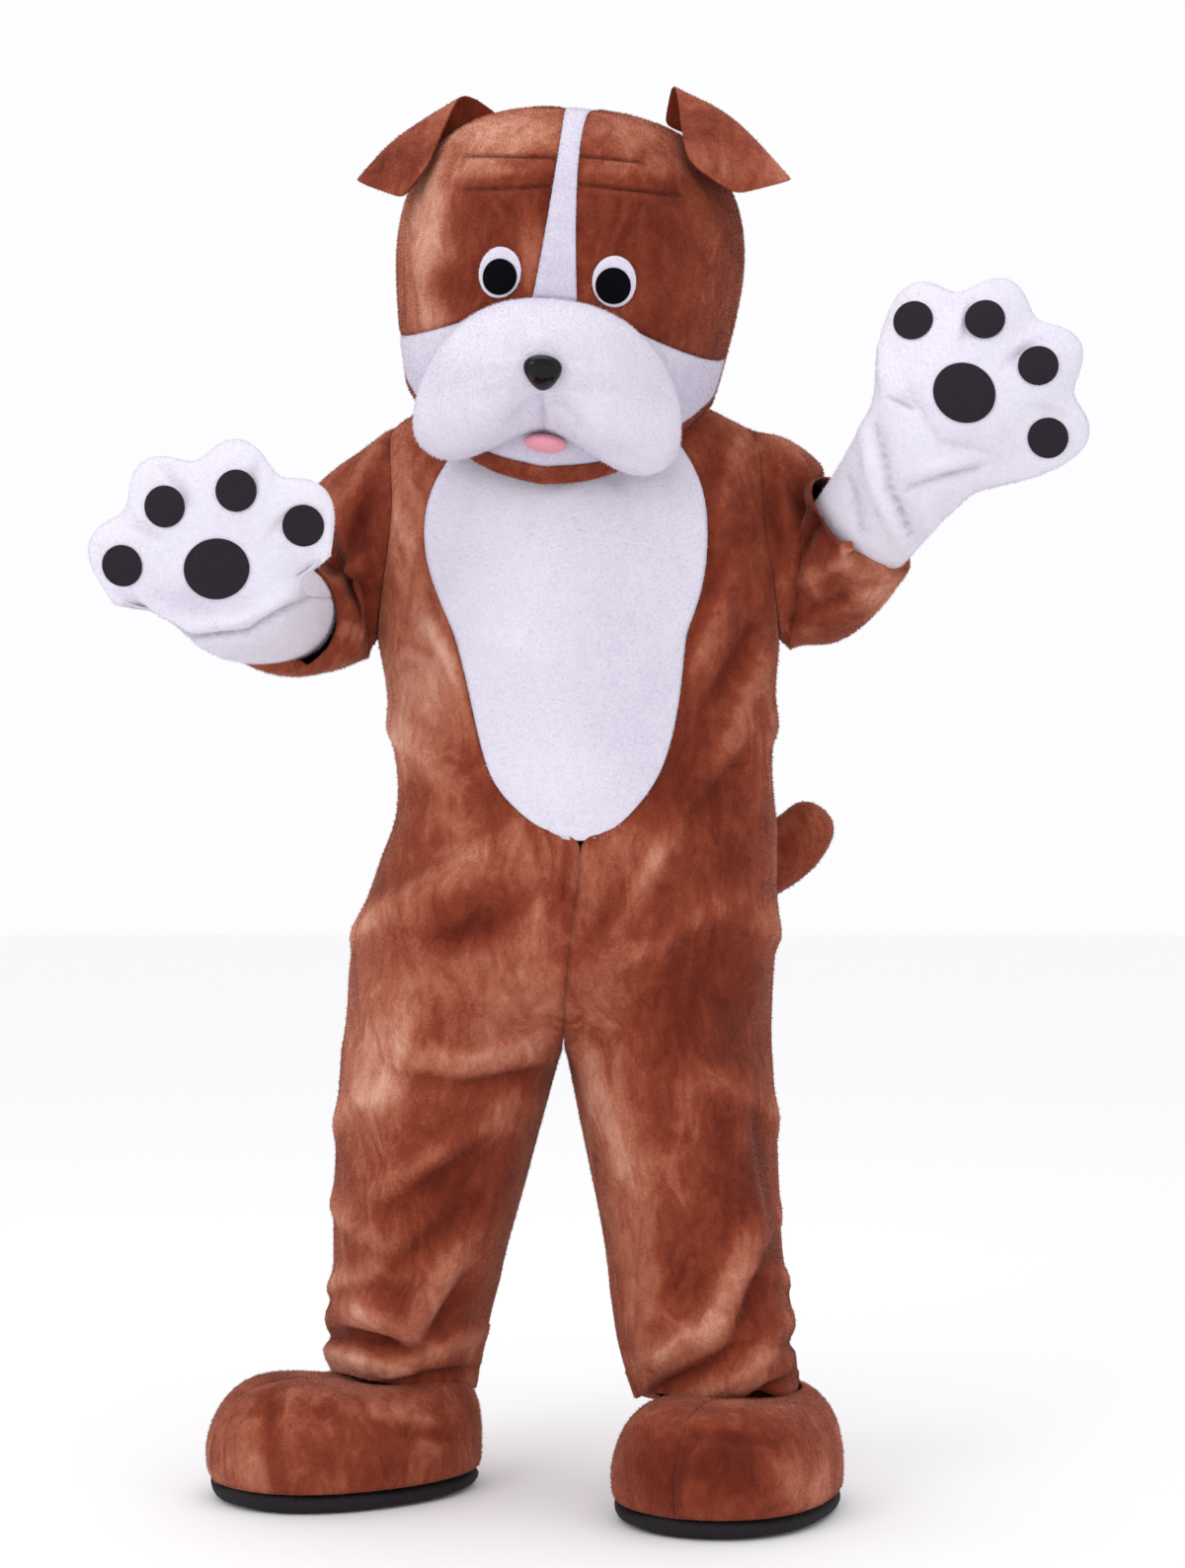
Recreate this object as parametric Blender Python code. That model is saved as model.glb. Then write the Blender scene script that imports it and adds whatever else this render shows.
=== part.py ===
"""Dog mascot costume: jumpsuit, head, mitts and boot covers, hollow, in the pose of its wearer.

Metres, +Z up, the front towards -Y. Heights are measured from the floor under the soles while
modelling, and the parent empty then brings the origin to the wearer's shoulders. Left and right
are the viewer's: side -1 is the viewer's left.
"""

import math

import bmesh
import bpy
import numpy as np
from mathutils import Vector
from mathutils.bvhtree import BVHTree

for item in list(bpy.data.objects):
    bpy.data.objects.remove(item, do_unlink=True)

SHOULDER_HEIGHT = 1.38
PLUSH = 0.003
FOAM = 0.007
SEAM = 0.0003
LIFT = 0.0008
CROTCH_HEIGHT = 0.575
FORK_HEIGHT = 0.70
FORK_NARROW = 0.07
ARMHOLE_LOW = 1.115
ARMHOLE_HIGH = 1.40
ARMHOLE_REACH = 0.14
BELLY_TIP = 0.861
SIDES = {"left": -1, "right": 1}

parts = bpy.data.collections.new("dog_mascot_costume")
bpy.context.scene.collection.children.link(parts)
origin = bpy.data.objects.new("wearer_shoulders", None)
origin.location = (0, 0, -SHOULDER_HEIGHT)
parts.objects.link(origin)


def material(name, colour, roughness):
    made = bpy.data.materials.new(name)
    made.use_nodes = True
    shader = made.node_tree.nodes["Principled BSDF"]
    shader.inputs["Base Color"].default_value = (*colour, 1)
    shader.inputs["Roughness"].default_value = roughness
    return made


BROWN = material("brown_plush", (0.30, 0.09, 0.035), 0.9)
WHITE = material("white_plush", (0.85, 0.82, 0.87), 0.9)
FELT = material("black_felt", (0.02, 0.015, 0.02), 0.95)
PINK = material("pink_felt", (0.75, 0.32, 0.35), 0.9)
NOSE = material("black_moulded_plastic", (0.01, 0.01, 0.012), 0.15)
MESH = material("black_mesh", (0.02, 0.02, 0.03), 0.5)
SOLE = material("black_sole_cloth", (0.015, 0.012, 0.015), 0.8)


def table(columns, *rows):
    """A short table: each column by its name."""
    return dict(zip(columns.split(), np.array(rows, float).T))


def read(rows, name, at):
    """A column of a table as a smooth curve over the table's first column."""
    knots = next(iter(rows.values()))
    values = rows[name]
    slopes = np.gradient(values, knots)
    at = np.clip(at, knots[0], knots[-1])
    i = np.clip(np.searchsorted(knots, at, side="right") - 1, 0, len(knots) - 2)
    span = knots[i + 1] - knots[i]
    t = (at - knots[i]) / span
    rise = (2 * t**3 - 3 * t**2 + 1) * values[i] + (3 * t**2 - 2 * t**3) * values[i + 1]
    return rise + span * ((t**3 - 2 * t**2 + t) * slopes[i] + (t**3 - t**2) * slopes[i + 1])


def unit(vectors):
    return vectors / np.linalg.norm(vectors, axis=-1, keepdims=True)


def add_object(name, points, faces, finish):
    """One closed solid, its doubled corners merged and its faces turned outwards."""
    mesh = bpy.data.meshes.new(name)
    mesh.from_pydata([tuple(p) for p in points], [], faces)
    work = bmesh.new()
    work.from_mesh(mesh)
    bmesh.ops.remove_doubles(work, verts=work.verts, dist=1e-6)
    bmesh.ops.triangulate(work, faces=work.faces, quad_method="FIXED")
    bmesh.ops.recalc_face_normals(work, faces=work.faces)
    if work.calc_volume(signed=True) < 0:
        bmesh.ops.reverse_faces(work, faces=work.faces)
    work.to_mesh(mesh)
    work.free()
    mesh.materials.append(finish)
    mesh.shade_smooth()
    made = bpy.data.objects.new(name, mesh)
    parts.objects.link(made)
    made.parent = origin
    return made


def sheet_faces(grid, first, closed, flip):
    """The triangles over a grid, its points from number first, cut along the shorter diagonals."""
    rows, columns = grid.shape[:2]
    faces = []
    for i in range(rows - 1):
        for j in range(columns if closed else columns - 1):
            k = (j + 1) % columns
            a, b, c, d = [i * columns + j, i * columns + k, (i + 1) * columns + k, (i + 1) * columns + j]
            falling = np.linalg.norm(grid[i, j] - grid[i + 1, k])
            rising = np.linalg.norm(grid[i, k] - grid[i + 1, j])
            pair = ([a, b, c], [a, c, d]) if falling <= rising else ([a, b, d], [b, c, d])
            for corners in pair:
                faces.append([first + n for n in (corners[::-1] if flip else corners)])
    return faces


def wall(name, outer, inner, finish, closed=False):
    """A cloth wall between two matching grids of points, with its edges closed."""
    rows, columns = outer.shape[:2]
    below = rows * columns
    points = np.concatenate([outer.reshape(-1, 3), inner.reshape(-1, 3)])
    faces = sheet_faces(outer, 0, closed, False)
    faces += sheet_faces(outer, below, closed, True)
    rims = []
    for i in (0, rows - 1):
        line = [i * columns + j for j in range(columns)]
        rims.append(line + line[:1] if closed else line)
    if not closed:
        for j in (0, columns - 1):
            rims.append([i * columns + j for i in range(rows)])
    for line in rims:
        for a, b in zip(line, line[1:]):
            faces.append([a, b, below + b, below + a])
    return add_object(name, points, faces, finish)


def skin(name, rings, finish):
    """A stuffed or solid piece: closed rings whose first and last ring is a point."""
    return add_object(name, rings.reshape(-1, 3), sheet_faces(rings, 0, True, False), finish)


# The jumpsuit's girth: how far its sides, front and back lie from the centre line at each height.
TORSO = table(
    "height left right front back mid_front mid_back",
    (0.570, -0.305, 0.262, -0.165, 0.175, -0.012, -0.012),
    (0.660, -0.294, 0.264, -0.175, 0.190, -0.008, -0.004),
    (0.750, -0.278, 0.268, -0.180, 0.195, 0.000, 0.010),
    (0.800, -0.261, 0.269, -0.180, 0.190, 0.008, 0.020),
    (0.855, -0.239, 0.266, -0.175, 0.180, 0.011, 0.025),
    (0.907, -0.229, 0.262, -0.172, 0.172, 0.008, 0.025),
    (1.010, -0.236, 0.261, -0.168, 0.160, 0.004, 0.020),
    (1.063, -0.243, 0.265, -0.165, 0.158, 0.000, 0.018),
    (1.115, -0.257, 0.272, -0.162, 0.156, -0.003, 0.018),
    (1.190, -0.264, 0.282, -0.158, 0.155, -0.008, 0.018),
    (1.280, -0.256, 0.272, -0.150, 0.152, -0.010, 0.016),
    (1.340, -0.250, 0.260, -0.135, 0.145, -0.008, 0.012),
    (1.385, -0.245, 0.246, -0.118, 0.132, -0.006, 0.010),
    (1.415, -0.210, 0.191, -0.108, 0.118, -0.006, 0.008),
    (1.440, -0.158, 0.139, -0.100, 0.108, -0.005, 0.006),
    (1.455, -0.118, 0.118, -0.096, 0.103, -0.005, 0.005),
)

# The trouser legs: inner and outer edge, front and back at each height.
LEGS = {
    "left": table(
        "height inner outer front back",
        (0.100, -0.129, -0.322, -0.030, 0.150),
        (0.127, -0.122, -0.328, -0.045, 0.165),
        (0.153, -0.120, -0.330, -0.048, 0.168),
        (0.179, -0.122, -0.331, -0.055, 0.165),
        (0.205, -0.108, -0.328, -0.068, 0.168),
        (0.231, -0.112, -0.316, -0.070, 0.160),
        (0.283, -0.095, -0.319, -0.085, 0.155),
        (0.335, -0.081, -0.316, -0.095, 0.150),
        (0.387, -0.064, -0.316, -0.108, 0.148),
        (0.439, -0.053, -0.316, -0.120, 0.150),
        (0.491, -0.038, -0.309, -0.135, 0.152),
        (0.543, -0.023, -0.307, -0.145, 0.158),
        (0.575, -0.014, -0.303, -0.150, 0.165),
        (0.700, -0.012, -0.290, -0.175, 0.190),
    ),
    "right": table(
        "height inner outer front back",
        (0.100, 0.080, 0.294, -0.145, 0.045),
        (0.127, 0.074, 0.302, -0.165, 0.055),
        (0.153, 0.069, 0.280, -0.160, 0.055),
        (0.179, 0.061, 0.283, -0.158, 0.060),
        (0.205, 0.057, 0.289, -0.160, 0.072),
        (0.231, 0.054, 0.285, -0.158, 0.070),
        (0.283, 0.048, 0.267, -0.152, 0.075),
        (0.335, 0.042, 0.274, -0.152, 0.088),
        (0.387, 0.031, 0.270, -0.152, 0.102),
        (0.439, 0.018, 0.271, -0.153, 0.120),
        (0.491, 0.007, 0.268, -0.155, 0.135),
        (0.543, -0.001, 0.263, -0.158, 0.150),
        (0.575, -0.010, 0.262, -0.160, 0.163),
        (0.700, -0.008, 0.265, -0.175, 0.190),
    ),
}

# The white belly's two edges at each height.
BELLY = table(
    "height left right",
    (0.861, 0.006, 0.016),
    (0.866, -0.025, 0.042),
    (0.883, -0.055, 0.066),
    (0.920, -0.0955, 0.101),
    (0.970, -0.1155, 0.124),
    (1.046, -0.132, 0.139),
    (1.121, -0.152, 0.147),
    (1.171, -0.174, 0.166),
    (1.221, -0.191, 0.174),
    (1.271, -0.192, 0.174),
    (1.321, -0.178, 0.166),
    (1.370, -0.140, 0.135),
    (1.415, -0.100, 0.095),
    (1.455, -0.070, 0.065),
)

# The largest folds: from one place to another (share round the half suit, height), half width, rise.
FOLDS = table(
    "side round_a height_a round_b height_b width rise",
    (-1, 0.06, 0.53, 0.44, 0.40, 0.032, 0.012),
    (-1, 0.04, 0.43, 0.36, 0.31, 0.030, 0.010),
    (-1, 0.05, 0.33, 0.50, 0.27, 0.026, 0.010),
    (-1, 0.10, 0.24, 0.55, 0.20, 0.022, 0.012),
    (-1, 0.62, 0.50, 0.92, 0.38, 0.032, 0.010),
    (-1, 0.55, 0.30, 0.95, 0.24, 0.026, 0.010),
    (-1, 0.10, 0.80, 0.50, 0.70, 0.040, 0.012),
    (-1, 0.22, 0.90, 0.50, 0.83, 0.030, 0.010),
    (-1, 0.30, 0.66, 0.48, 0.56, 0.036, 0.010),
    (-1, 0.60, 0.78, 0.95, 0.70, 0.040, 0.011),
    (1, 0.06, 0.62, 0.42, 0.78, 0.036, 0.011),
    (1, 0.10, 0.46, 0.46, 0.56, 0.032, 0.009),
    (1, 0.16, 0.36, 0.50, 0.27, 0.030, 0.012),
    (1, 0.08, 0.19, 0.50, 0.24, 0.024, 0.014),
    (1, 0.20, 0.14, 0.60, 0.17, 0.020, 0.012),
    (1, 0.60, 0.42, 0.95, 0.32, 0.032, 0.010),
    (1, 0.58, 0.22, 0.95, 0.17, 0.024, 0.012),
    (1, 0.60, 0.80, 0.95, 0.72, 0.040, 0.011),
    (1, 0.30, 0.95, 0.50, 0.86, 0.034, 0.010),
    (1, 0.36, 1.06, 0.52, 1.00, 0.028, 0.008),
    (-1, 0.36, 1.05, 0.52, 0.98, 0.028, 0.008),
)
HALF_GIRTH = 0.82
SEAM_CALM = 0.09
FRONT_SQUARENESS = 0.8


def suit_shape(side, around, height):
    """The bare surface of half the suit: around runs 0 front centre, 0.5 side, 1 back centre."""
    around, height = np.broadcast_arrays(np.asarray(around, float), np.asarray(height, float))
    name = "left" if side < 0 else "right"
    angle = np.pi * around
    front = around < 0.5
    middle = np.where(front, read(TORSO, "mid_front", height), read(TORSO, "mid_back", height))
    depth = np.where(front, read(TORSO, "front", height), read(TORSO, "back", height))
    out = middle + (read(TORSO, name, height) - middle) * np.sin(angle)
    along = depth * np.abs(np.cos(angle)) ** FRONT_SQUARENESS
    leg = LEGS[name]
    inner, outer = read(leg, "inner", height), read(leg, "outer", height)
    fore, aft = read(leg, "front", height), read(leg, "back", height)
    leg_out = (inner + outer) / 2 + (inner - outer) / 2 * np.cos(2 * angle)
    leg_along = (fore + aft) / 2 - (aft - fore) / 2 * np.sin(2 * angle)
    share = np.clip((FORK_HEIGHT - height) / (FORK_HEIGHT - CROTCH_HEIGHT), 0, 1)
    arch = 1 - np.sqrt(1 - share**2)
    slope = share * share * (3 - 2 * share)
    blend = slope + (arch - slope) * np.exp(-((np.minimum(around, 1 - around) / FORK_NARROW) ** 2))
    return np.stack(
        [out + blend * (leg_out - out), along + blend * (leg_along - along), height], axis=-1
    )


def fold_rise(side, around, height):
    """How far the folds lift the cloth at a place."""
    rise = np.zeros(np.shape(around))
    for i in np.flatnonzero(FOLDS["side"] == side):
        start = np.array([FOLDS["round_a"][i] * HALF_GIRTH, FOLDS["height_a"][i]])
        end = np.array([FOLDS["round_b"][i] * HALF_GIRTH, FOLDS["height_b"][i]])
        place = np.stack([around * HALF_GIRTH, height], axis=-1) - start
        line = end - start
        along = np.clip(place @ line / (line @ line), 0, 1)
        away = np.linalg.norm(place - along[..., None] * line, axis=-1)
        rise += FOLDS["rise"][i] * np.exp(-((away / FOLDS["width"][i]) ** 2)) * np.sin(
            np.pi * (0.15 + 0.7 * along)
        )
    calm = np.clip(np.minimum(around, 1 - around) / SEAM_CALM, 0, 1)
    return rise * calm * calm * (3 - 2 * calm)


def suit(side, around, height):
    """Points and outward normals of the suit's outer surface."""
    around, height = np.broadcast_arrays(np.asarray(around, float), np.asarray(height, float))
    step_round, step_up = 1e-3, 1e-3
    low, high = np.clip(around - step_round, 0, 1), np.clip(around + step_round, 0, 1)
    across = suit_shape(side, high, height) - suit_shape(side, low, height)
    up = suit_shape(side, around, height + step_up) - suit_shape(side, around, height - step_up)
    normal = side * np.cross(across, up)
    on_seam = (around < 1e-6) | (around > 1 - 1e-6)
    facing = np.where(height > FORK_HEIGHT, 0, np.minimum(side * normal[..., 0], 0))
    normal[..., 0] = np.where(on_seam, side * facing, normal[..., 0])
    normal = unit(normal)
    return suit_shape(side, around, height) + fold_rise(side, around, height)[..., None] * normal, normal


def belly_round(side, height):
    """Where the belly's edge lies, as a share round the half suit."""
    name = "left" if side < 0 else "right"
    middle = read(TORSO, "mid_front", height)
    reach = (read(BELLY, name, height) - middle) / (read(TORSO, name, height) - middle)
    return np.where(height > BELLY_TIP + 1e-6, np.arcsin(np.clip(reach, 0, 1)) / np.pi, 0)


FORK_STEPS = np.radians([75, 60, 45, 30, 15])
ARM_STEPS = np.radians([0, 22, 45, 68, 90, 112, 135, 158, 180])
ARM_MIDDLE = (ARMHOLE_LOW + ARMHOLE_HIGH) / 2
ARM_HALF = (ARMHOLE_HIGH - ARMHOLE_LOW) / 2
LEG_HEIGHTS = [0.100, 0.122, 0.145, 0.168, 0.190, 0.215, 0.245, 0.285, 0.33, 0.38, 0.43, 0.48, 0.53]
FORK_HEIGHTS = list(FORK_HEIGHT - (FORK_HEIGHT - CROTCH_HEIGHT) * np.sin(FORK_STEPS))
HIP_HEIGHTS = [FORK_HEIGHT, 0.745, 0.79, 0.83]
CHEST_HEIGHTS = [BELLY_TIP, 0.866, 0.878, 0.90, 0.93, 0.97, 1.02, 1.07]
ARM_HEIGHTS = list(ARM_MIDDLE - ARM_HALF * np.cos(ARM_STEPS))
NECK_HEIGHTS = [1.42, 1.44, 1.455]
SUIT_HEIGHTS = np.array(
    LEG_HEIGHTS + [CROTCH_HEIGHT] + FORK_HEIGHTS + HIP_HEIGHTS + CHEST_HEIGHTS + ARM_HEIGHTS
    + NECK_HEIGHTS
)

# Boots: where the ankle stands and which way the toe points.
ANKLES = {"left": (-0.226, 0.032), "right": (0.238, -0.045)}
TOES = {"left": (-0.90, -0.436), "right": (-0.42, -0.907)}

# Boot covers: two upper halves sewn over the toe and heel, and a padded sole.
BOOT_LENGTH = 0.370
BOOT_WIDTH = 0.276
TOE_REACH = 0.263
SOLE_HEIGHT = 0.026
ANKLE_RADIUS = 0.062
BOOT_TOP = 0.150
BOOT = table(
    "share toe_out toe_up side_out side_up heel_out heel_up",
    (0.00, 1.00, 0.00, 1.00, 0.00, 1.00, 0.00),
    (0.18, 1.03, 0.27, 1.02, 0.22, 1.03, 0.26),
    (0.36, 0.98, 0.63, 0.96, 0.46, 1.00, 0.52),
    (0.54, 0.81, 0.98, 0.79, 0.68, 0.86, 0.74),
    (0.70, 0.58, 1.08, 0.54, 0.82, 0.59, 0.88),
    (0.85, 0.28, 1.00, 0.27, 0.90, 0.30, 0.95),
    (1.00, 0.00, 0.92, 0.00, 0.94, 0.00, 1.00),
)
BOOT_SHARES = np.linspace(0, 1, 9)
BOOT_COLUMNS = 12
TOE_CLEFT = 0.010


def boot_frame(name):
    toe = np.array([*unit(np.array(TOES[name])), 0])
    return np.array([*ANKLES[name], 0]), toe, np.cross(np.array([0, 0, 1.0]), toe)


def sole_edge(turn):
    """The sole's outline about the ankle: turn 0 at the toe, pi at the heel."""
    middle = TOE_REACH - BOOT_LENGTH / 2
    along = middle + BOOT_LENGTH / 2 * np.sign(np.cos(turn)) * np.abs(np.cos(turn)) ** 0.9
    across = BOOT_WIDTH / 2 * np.sin(turn) * (1 + 0.10 * np.cos(turn))
    return along, across


def boot_points(name, turn, share):
    """The boot cover's outer surface."""
    ankle, toe, side_way = boot_frame(name)
    along, across = sole_edge(turn)
    facing_toe = np.clip(np.cos(turn), 0, 1) ** 1.3
    facing_heel = np.clip(-np.cos(turn), 0, 1) ** 1.3
    facing_side = 1 - facing_toe - facing_heel
    out, up = 0, 0
    for weight, part in ((facing_toe, "toe"), (facing_side, "side"), (facing_heel, "heel")):
        out = out + weight * read(BOOT, f"{part}_out", share)
        up = up + weight * read(BOOT, f"{part}_up", share)
    start_along, start_across = ANKLE_RADIUS * np.cos(turn), ANKLE_RADIUS * np.sin(turn)
    x = start_along + out * (along - start_along)
    y = start_across + out * (across - start_across)
    cleft = TOE_CLEFT * np.exp(-((turn / 0.16) ** 2)) * np.exp(-(((share - 0.6) / 0.16) ** 2))
    z = SOLE_HEIGHT + SEAM + up * (BOOT_TOP - SOLE_HEIGHT) - cleft
    return ankle + x[..., None] * toe + y[..., None] * side_way + z[..., None] * np.array([0, 0, 1.0])


HEM_CLEAR = 0.0045
HEM_LOW = 0.055
HEM_BLEND_TOP = 0.26


def boot_height(name, points):
    """How high the boot cover stands at a place, or the lowest hem where it doesn't reach."""
    ankle, toe, side_way = boot_frame(name)
    away = points - ankle
    turn = np.arctan2(away @ side_way, away @ toe)
    reach = np.linalg.norm(away[..., :2], axis=-1)
    height = np.full(reach.shape, HEM_LOW)
    for share in np.linspace(0, 1, 41):
        at = boot_points(name, turn, np.full(turn.shape, share))
        covered = np.linalg.norm((at - ankle)[..., :2], axis=-1) > reach - HEM_CLEAR
        height = np.where(covered, np.maximum(height, at[..., 2] + HEM_CLEAR), height)
    return height


def slope_hem(name, outer, inner):
    """Turns the level lower rows of a leg so that they end on the boot, high at the toe."""
    base = LEG_HEIGHTS[0]
    hem = boot_height(name, inner[0])
    for points in (outer, inner):
        share = np.clip((HEM_BLEND_TOP - points[..., 2]) / (HEM_BLEND_TOP - base), 0, 1)
        points[..., 2] += (hem - base) * share


PANEL_COLUMNS = 7


def suit_panel(half, name):
    """A front or back panel, from the leg's hem to the neck."""
    side = SIDES[name]
    height = SUIT_HEIGHTS[:, None]
    armhole = np.clip((ARM_MIDDLE - SUIT_HEIGHTS) / ARM_HALF, -1, 1)
    reach = ARMHOLE_REACH * np.sqrt(1 - armhole**2)
    if half == "front":
        start, end = belly_round(side, SUIT_HEIGHTS), 0.5 - reach
    else:
        start, end = 0.5 + reach, np.ones(len(SUIT_HEIGHTS))
    share = np.linspace(0, 1, PANEL_COLUMNS)
    around = start[:, None] + (end - start)[:, None] * share
    outer, normal = suit(side, around, height)
    inner = outer - PLUSH * normal
    turn = -1 if half == "front" else 1
    centre_column, side_column = (0, -1) if half == "front" else (-1, 0)
    fork = np.interp(SUIT_HEIGHTS, (CROTCH_HEIGHT - 0.03, CROTCH_HEIGHT, FORK_HEIGHT), (0, 1, 0))
    for points in (outer, inner):
        points[:, centre_column, 0] += side * SEAM * (0.6 + 3 * fork)
        points[:, centre_column, 1] += turn * SEAM * 0.6
        points[:, side_column, 1] += turn * SEAM * 0.6
    slope_hem(name, outer, inner)
    return wall(f"{half}_{name}", outer, inner, BROWN)


for half in ("front", "back"):
    for name in SIDES:
        suit_panel(half, name)

# The belly: one white piece between the fronts, its edges on theirs.
BELLY_COLUMNS = 9
belly_heights = SUIT_HEIGHTS[SUIT_HEIGHTS > BELLY_TIP - 1e-6]
belly_grids = []
for name, side in SIDES.items():
    share = np.linspace(1, 0, BELLY_COLUMNS // 2 + 1)
    belly_grids.append(suit(side, belly_round(side, belly_heights)[:, None] * share, belly_heights[:, None]))
belly_outer = np.concatenate([belly_grids[0][0], belly_grids[1][0][:, -2::-1]], axis=1)
belly_normal = np.concatenate([belly_grids[0][1], belly_grids[1][1][:, -2::-1]], axis=1)
belly_inner = belly_outer - PLUSH * belly_normal
belly_core = np.array([read(TORSO, "mid_front", 1.0), -0.168, BELLY_TIP + 0.12])
for points in (belly_outer, belly_inner):
    for edge in (points[:, 0], points[:, -1]):
        core = np.stack(
            [0 * edge[:, 0] + belly_core[0], edge[:, 1], np.maximum(edge[:, 2], belly_core[2])], axis=-1
        )
        edge += unit(core - edge) * SEAM * 1.5
    points[0] += (0, 0, SEAM * 2)
    points[0, :] = points[0, BELLY_COLUMNS // 2]
wall("belly", belly_outer, belly_inner, WHITE)

# Sleeves: wide tubes from the armhole round the elbow to the hem.
SLEEVES = {
    "left": table(
        "share x y z up_x up_y up_z across_x across_y across_z tall wide",
        (0.00, -0.262, 0.000, 1.258, 0.0, 0.0, 1.0, 0.0, -1.0, 0.0, 0.142, 0.085),
        (0.45, -0.315, 0.020, 1.205, -0.35, 0.10, 0.93, 0.25, -0.97, 0.0, 0.118, 0.100),
        (0.70, -0.358, -0.015, 1.160, -0.20, 0.45, 0.87, 0.85, -0.50, 0.0, 0.102, 0.098),
        (1.00, -0.3815, -0.122, 1.1503, -0.10, 0.10, 0.99, 0.97, 0.24, 0.0, 0.084, 0.084),
    ),
    "right": table(
        "share x y z up_x up_y up_z across_x across_y across_z tall wide",
        (0.00, 0.272, 0.000, 1.258, 0.0, 0.0, 1.0, 0.0, -1.0, 0.0, 0.142, 0.085),
        (0.45, 0.316, 0.020, 1.233, 0.15, 0.10, 0.98, -0.20, -0.98, 0.0, 0.122, 0.100),
        (0.70, 0.338, 0.000, 1.225, -0.20, 0.10, 0.97, -0.40, -0.90, 0.1, 0.104, 0.098),
        (1.00, 0.372, -0.078, 1.261, -0.66, 0.10, 0.74, -0.45, -0.85, -0.28, 0.087, 0.085),
    ),
}
SLEEVE_SHARES = np.array([0, 0.08, 0.2, 0.34, 0.48, 0.6, 0.72, 0.86, 1.0])
SLEEVE_ROUND = np.concatenate([ARM_STEPS, 2 * np.pi - ARM_STEPS[-2:0:-1]])
SLEEVE_START = 0.5


def armhole(side, turn):
    """The armhole's edge: turn runs from the armpit over the front to the top and the back."""
    height = ARM_MIDDLE - ARM_HALF * np.cos(turn)
    points, normal = suit(side, 0.5 - ARMHOLE_REACH * np.sin(turn), height)
    return points + normal * SEAM * 1.4


def columns_of(rows, names, at):
    return np.stack([read(rows, name, at) for name in names.split()], axis=-1)


def sleeve_ring(name, share, turn):
    """The sleeve's outer ring at a share of its length, and its centre."""
    rows = SLEEVES[name]
    centre = columns_of(rows, "x y z", share)
    up = unit(columns_of(rows, "up_x up_y up_z", share))
    across = unit(columns_of(rows, "across_x across_y across_z", share))
    tall, wide = read(rows, "tall", share), read(rows, "wide", share)
    ring = centre - np.cos(turn)[:, None] * up * tall + np.sin(turn)[:, None] * across * wide
    start = armhole(SIDES[name], turn) + centre - columns_of(rows, "x y z", 0.0)
    mix = np.clip(share / SLEEVE_START, 0, 1)
    mix = mix * mix * (3 - 2 * mix)
    return start + mix * (ring - start), centre


SLEEVE_FOLDS = table(
    "share turn width rise",
    (0.30, 0.8, 0.10, 0.010),
    (0.55, 1.3, 0.08, 0.012),
    (0.62, 5.3, 0.10, 0.010),
    (0.85, 0.9, 0.07, 0.007),
)
SLEEVE_STEP = 0.0025
SLEEVE_TURN_START = 0.4
SLEEVE_TURN_SHARE = 0.12
for name in SIDES:
    rings, centres = [], []
    for share in SLEEVE_SHARES:
        ring, centre = sleeve_ring(name, share, SLEEVE_ROUND)
        out = unit(ring - centre)
        crease = np.zeros(len(SLEEVE_ROUND))
        for i in range(len(SLEEVE_FOLDS["share"])):
            away = (share - SLEEVE_FOLDS["share"][i]) / SLEEVE_FOLDS["width"][i]
            facing = np.cos(SLEEVE_ROUND - SLEEVE_FOLDS["turn"][i])
            crease += SLEEVE_FOLDS["rise"][i] * np.exp(-(away**2)) * np.clip(facing, 0, 1)
        ring = ring + out * crease[:, None] * min(1, share * 6)
        if rings:
            way = unit(centre - centres[-1])
            ring = ring + np.clip(SLEEVE_STEP - (ring - rings[-1]) @ way, 0, None)[:, None] * way
        rings.append(ring)
        centres.append(centre)
    outer, middles = np.array(rings), np.array(centres)[:, None]
    normal = unit(
        np.cross(np.roll(outer, -1, axis=1) - np.roll(outer, 1, axis=1), np.gradient(outer, axis=0))
    )
    out = unit(outer - middles)
    normal = normal * np.sign(np.sum(normal * out))
    mix = np.clip(SLEEVE_TURN_START + SLEEVE_SHARES / SLEEVE_TURN_SHARE, 0, 1)[:, None, None]
    wall(f"sleeve_{name}", outer, outer - PLUSH * unit(mix * normal + (1 - mix) * out), BROWN, closed=True)

# Tail: a stuffed cone sewn over the centre back seam.
TAIL_ROOT = (0.035, 0.80)
TAIL_ROOT_RADIUS = (0.052, 0.060)
TAIL = table(
    "share x y z radius",
    (0.00, 0.035, 0.190, 0.800, 0.052),
    (0.25, 0.108, 0.266, 0.780, 0.048),
    (0.55, 0.225, 0.284, 0.796, 0.052),
    (0.80, 0.304, 0.262, 0.838, 0.049),
    (1.00, 0.337, 0.250, 0.883, 0.036),
)
TAIL_SIDES = 12
turn = np.linspace(0, 2 * np.pi, TAIL_SIDES, endpoint=False)
root_x = TAIL_ROOT[0] + TAIL_ROOT_RADIUS[0] * np.cos(turn)
root_z = TAIL_ROOT[1] + TAIL_ROOT_RADIUS[1] * np.sin(turn)


def on_back(x, z):
    """A place on the outside of the back, a little clear of it."""
    middle = read(TORSO, "mid_back", z)
    reach = np.where(x < middle, read(TORSO, "left", z), read(TORSO, "right", z)) - middle
    around = 1 - np.arcsin(np.clip((x - middle) / reach, 0, 1)) / np.pi
    left, left_out = suit(-1, around, z)
    right, right_out = suit(1, around, z)
    pick = (x < middle)[..., None]
    return np.where(pick, left, right) + LIFT * 2 * np.where(pick, left_out, right_out)


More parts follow.
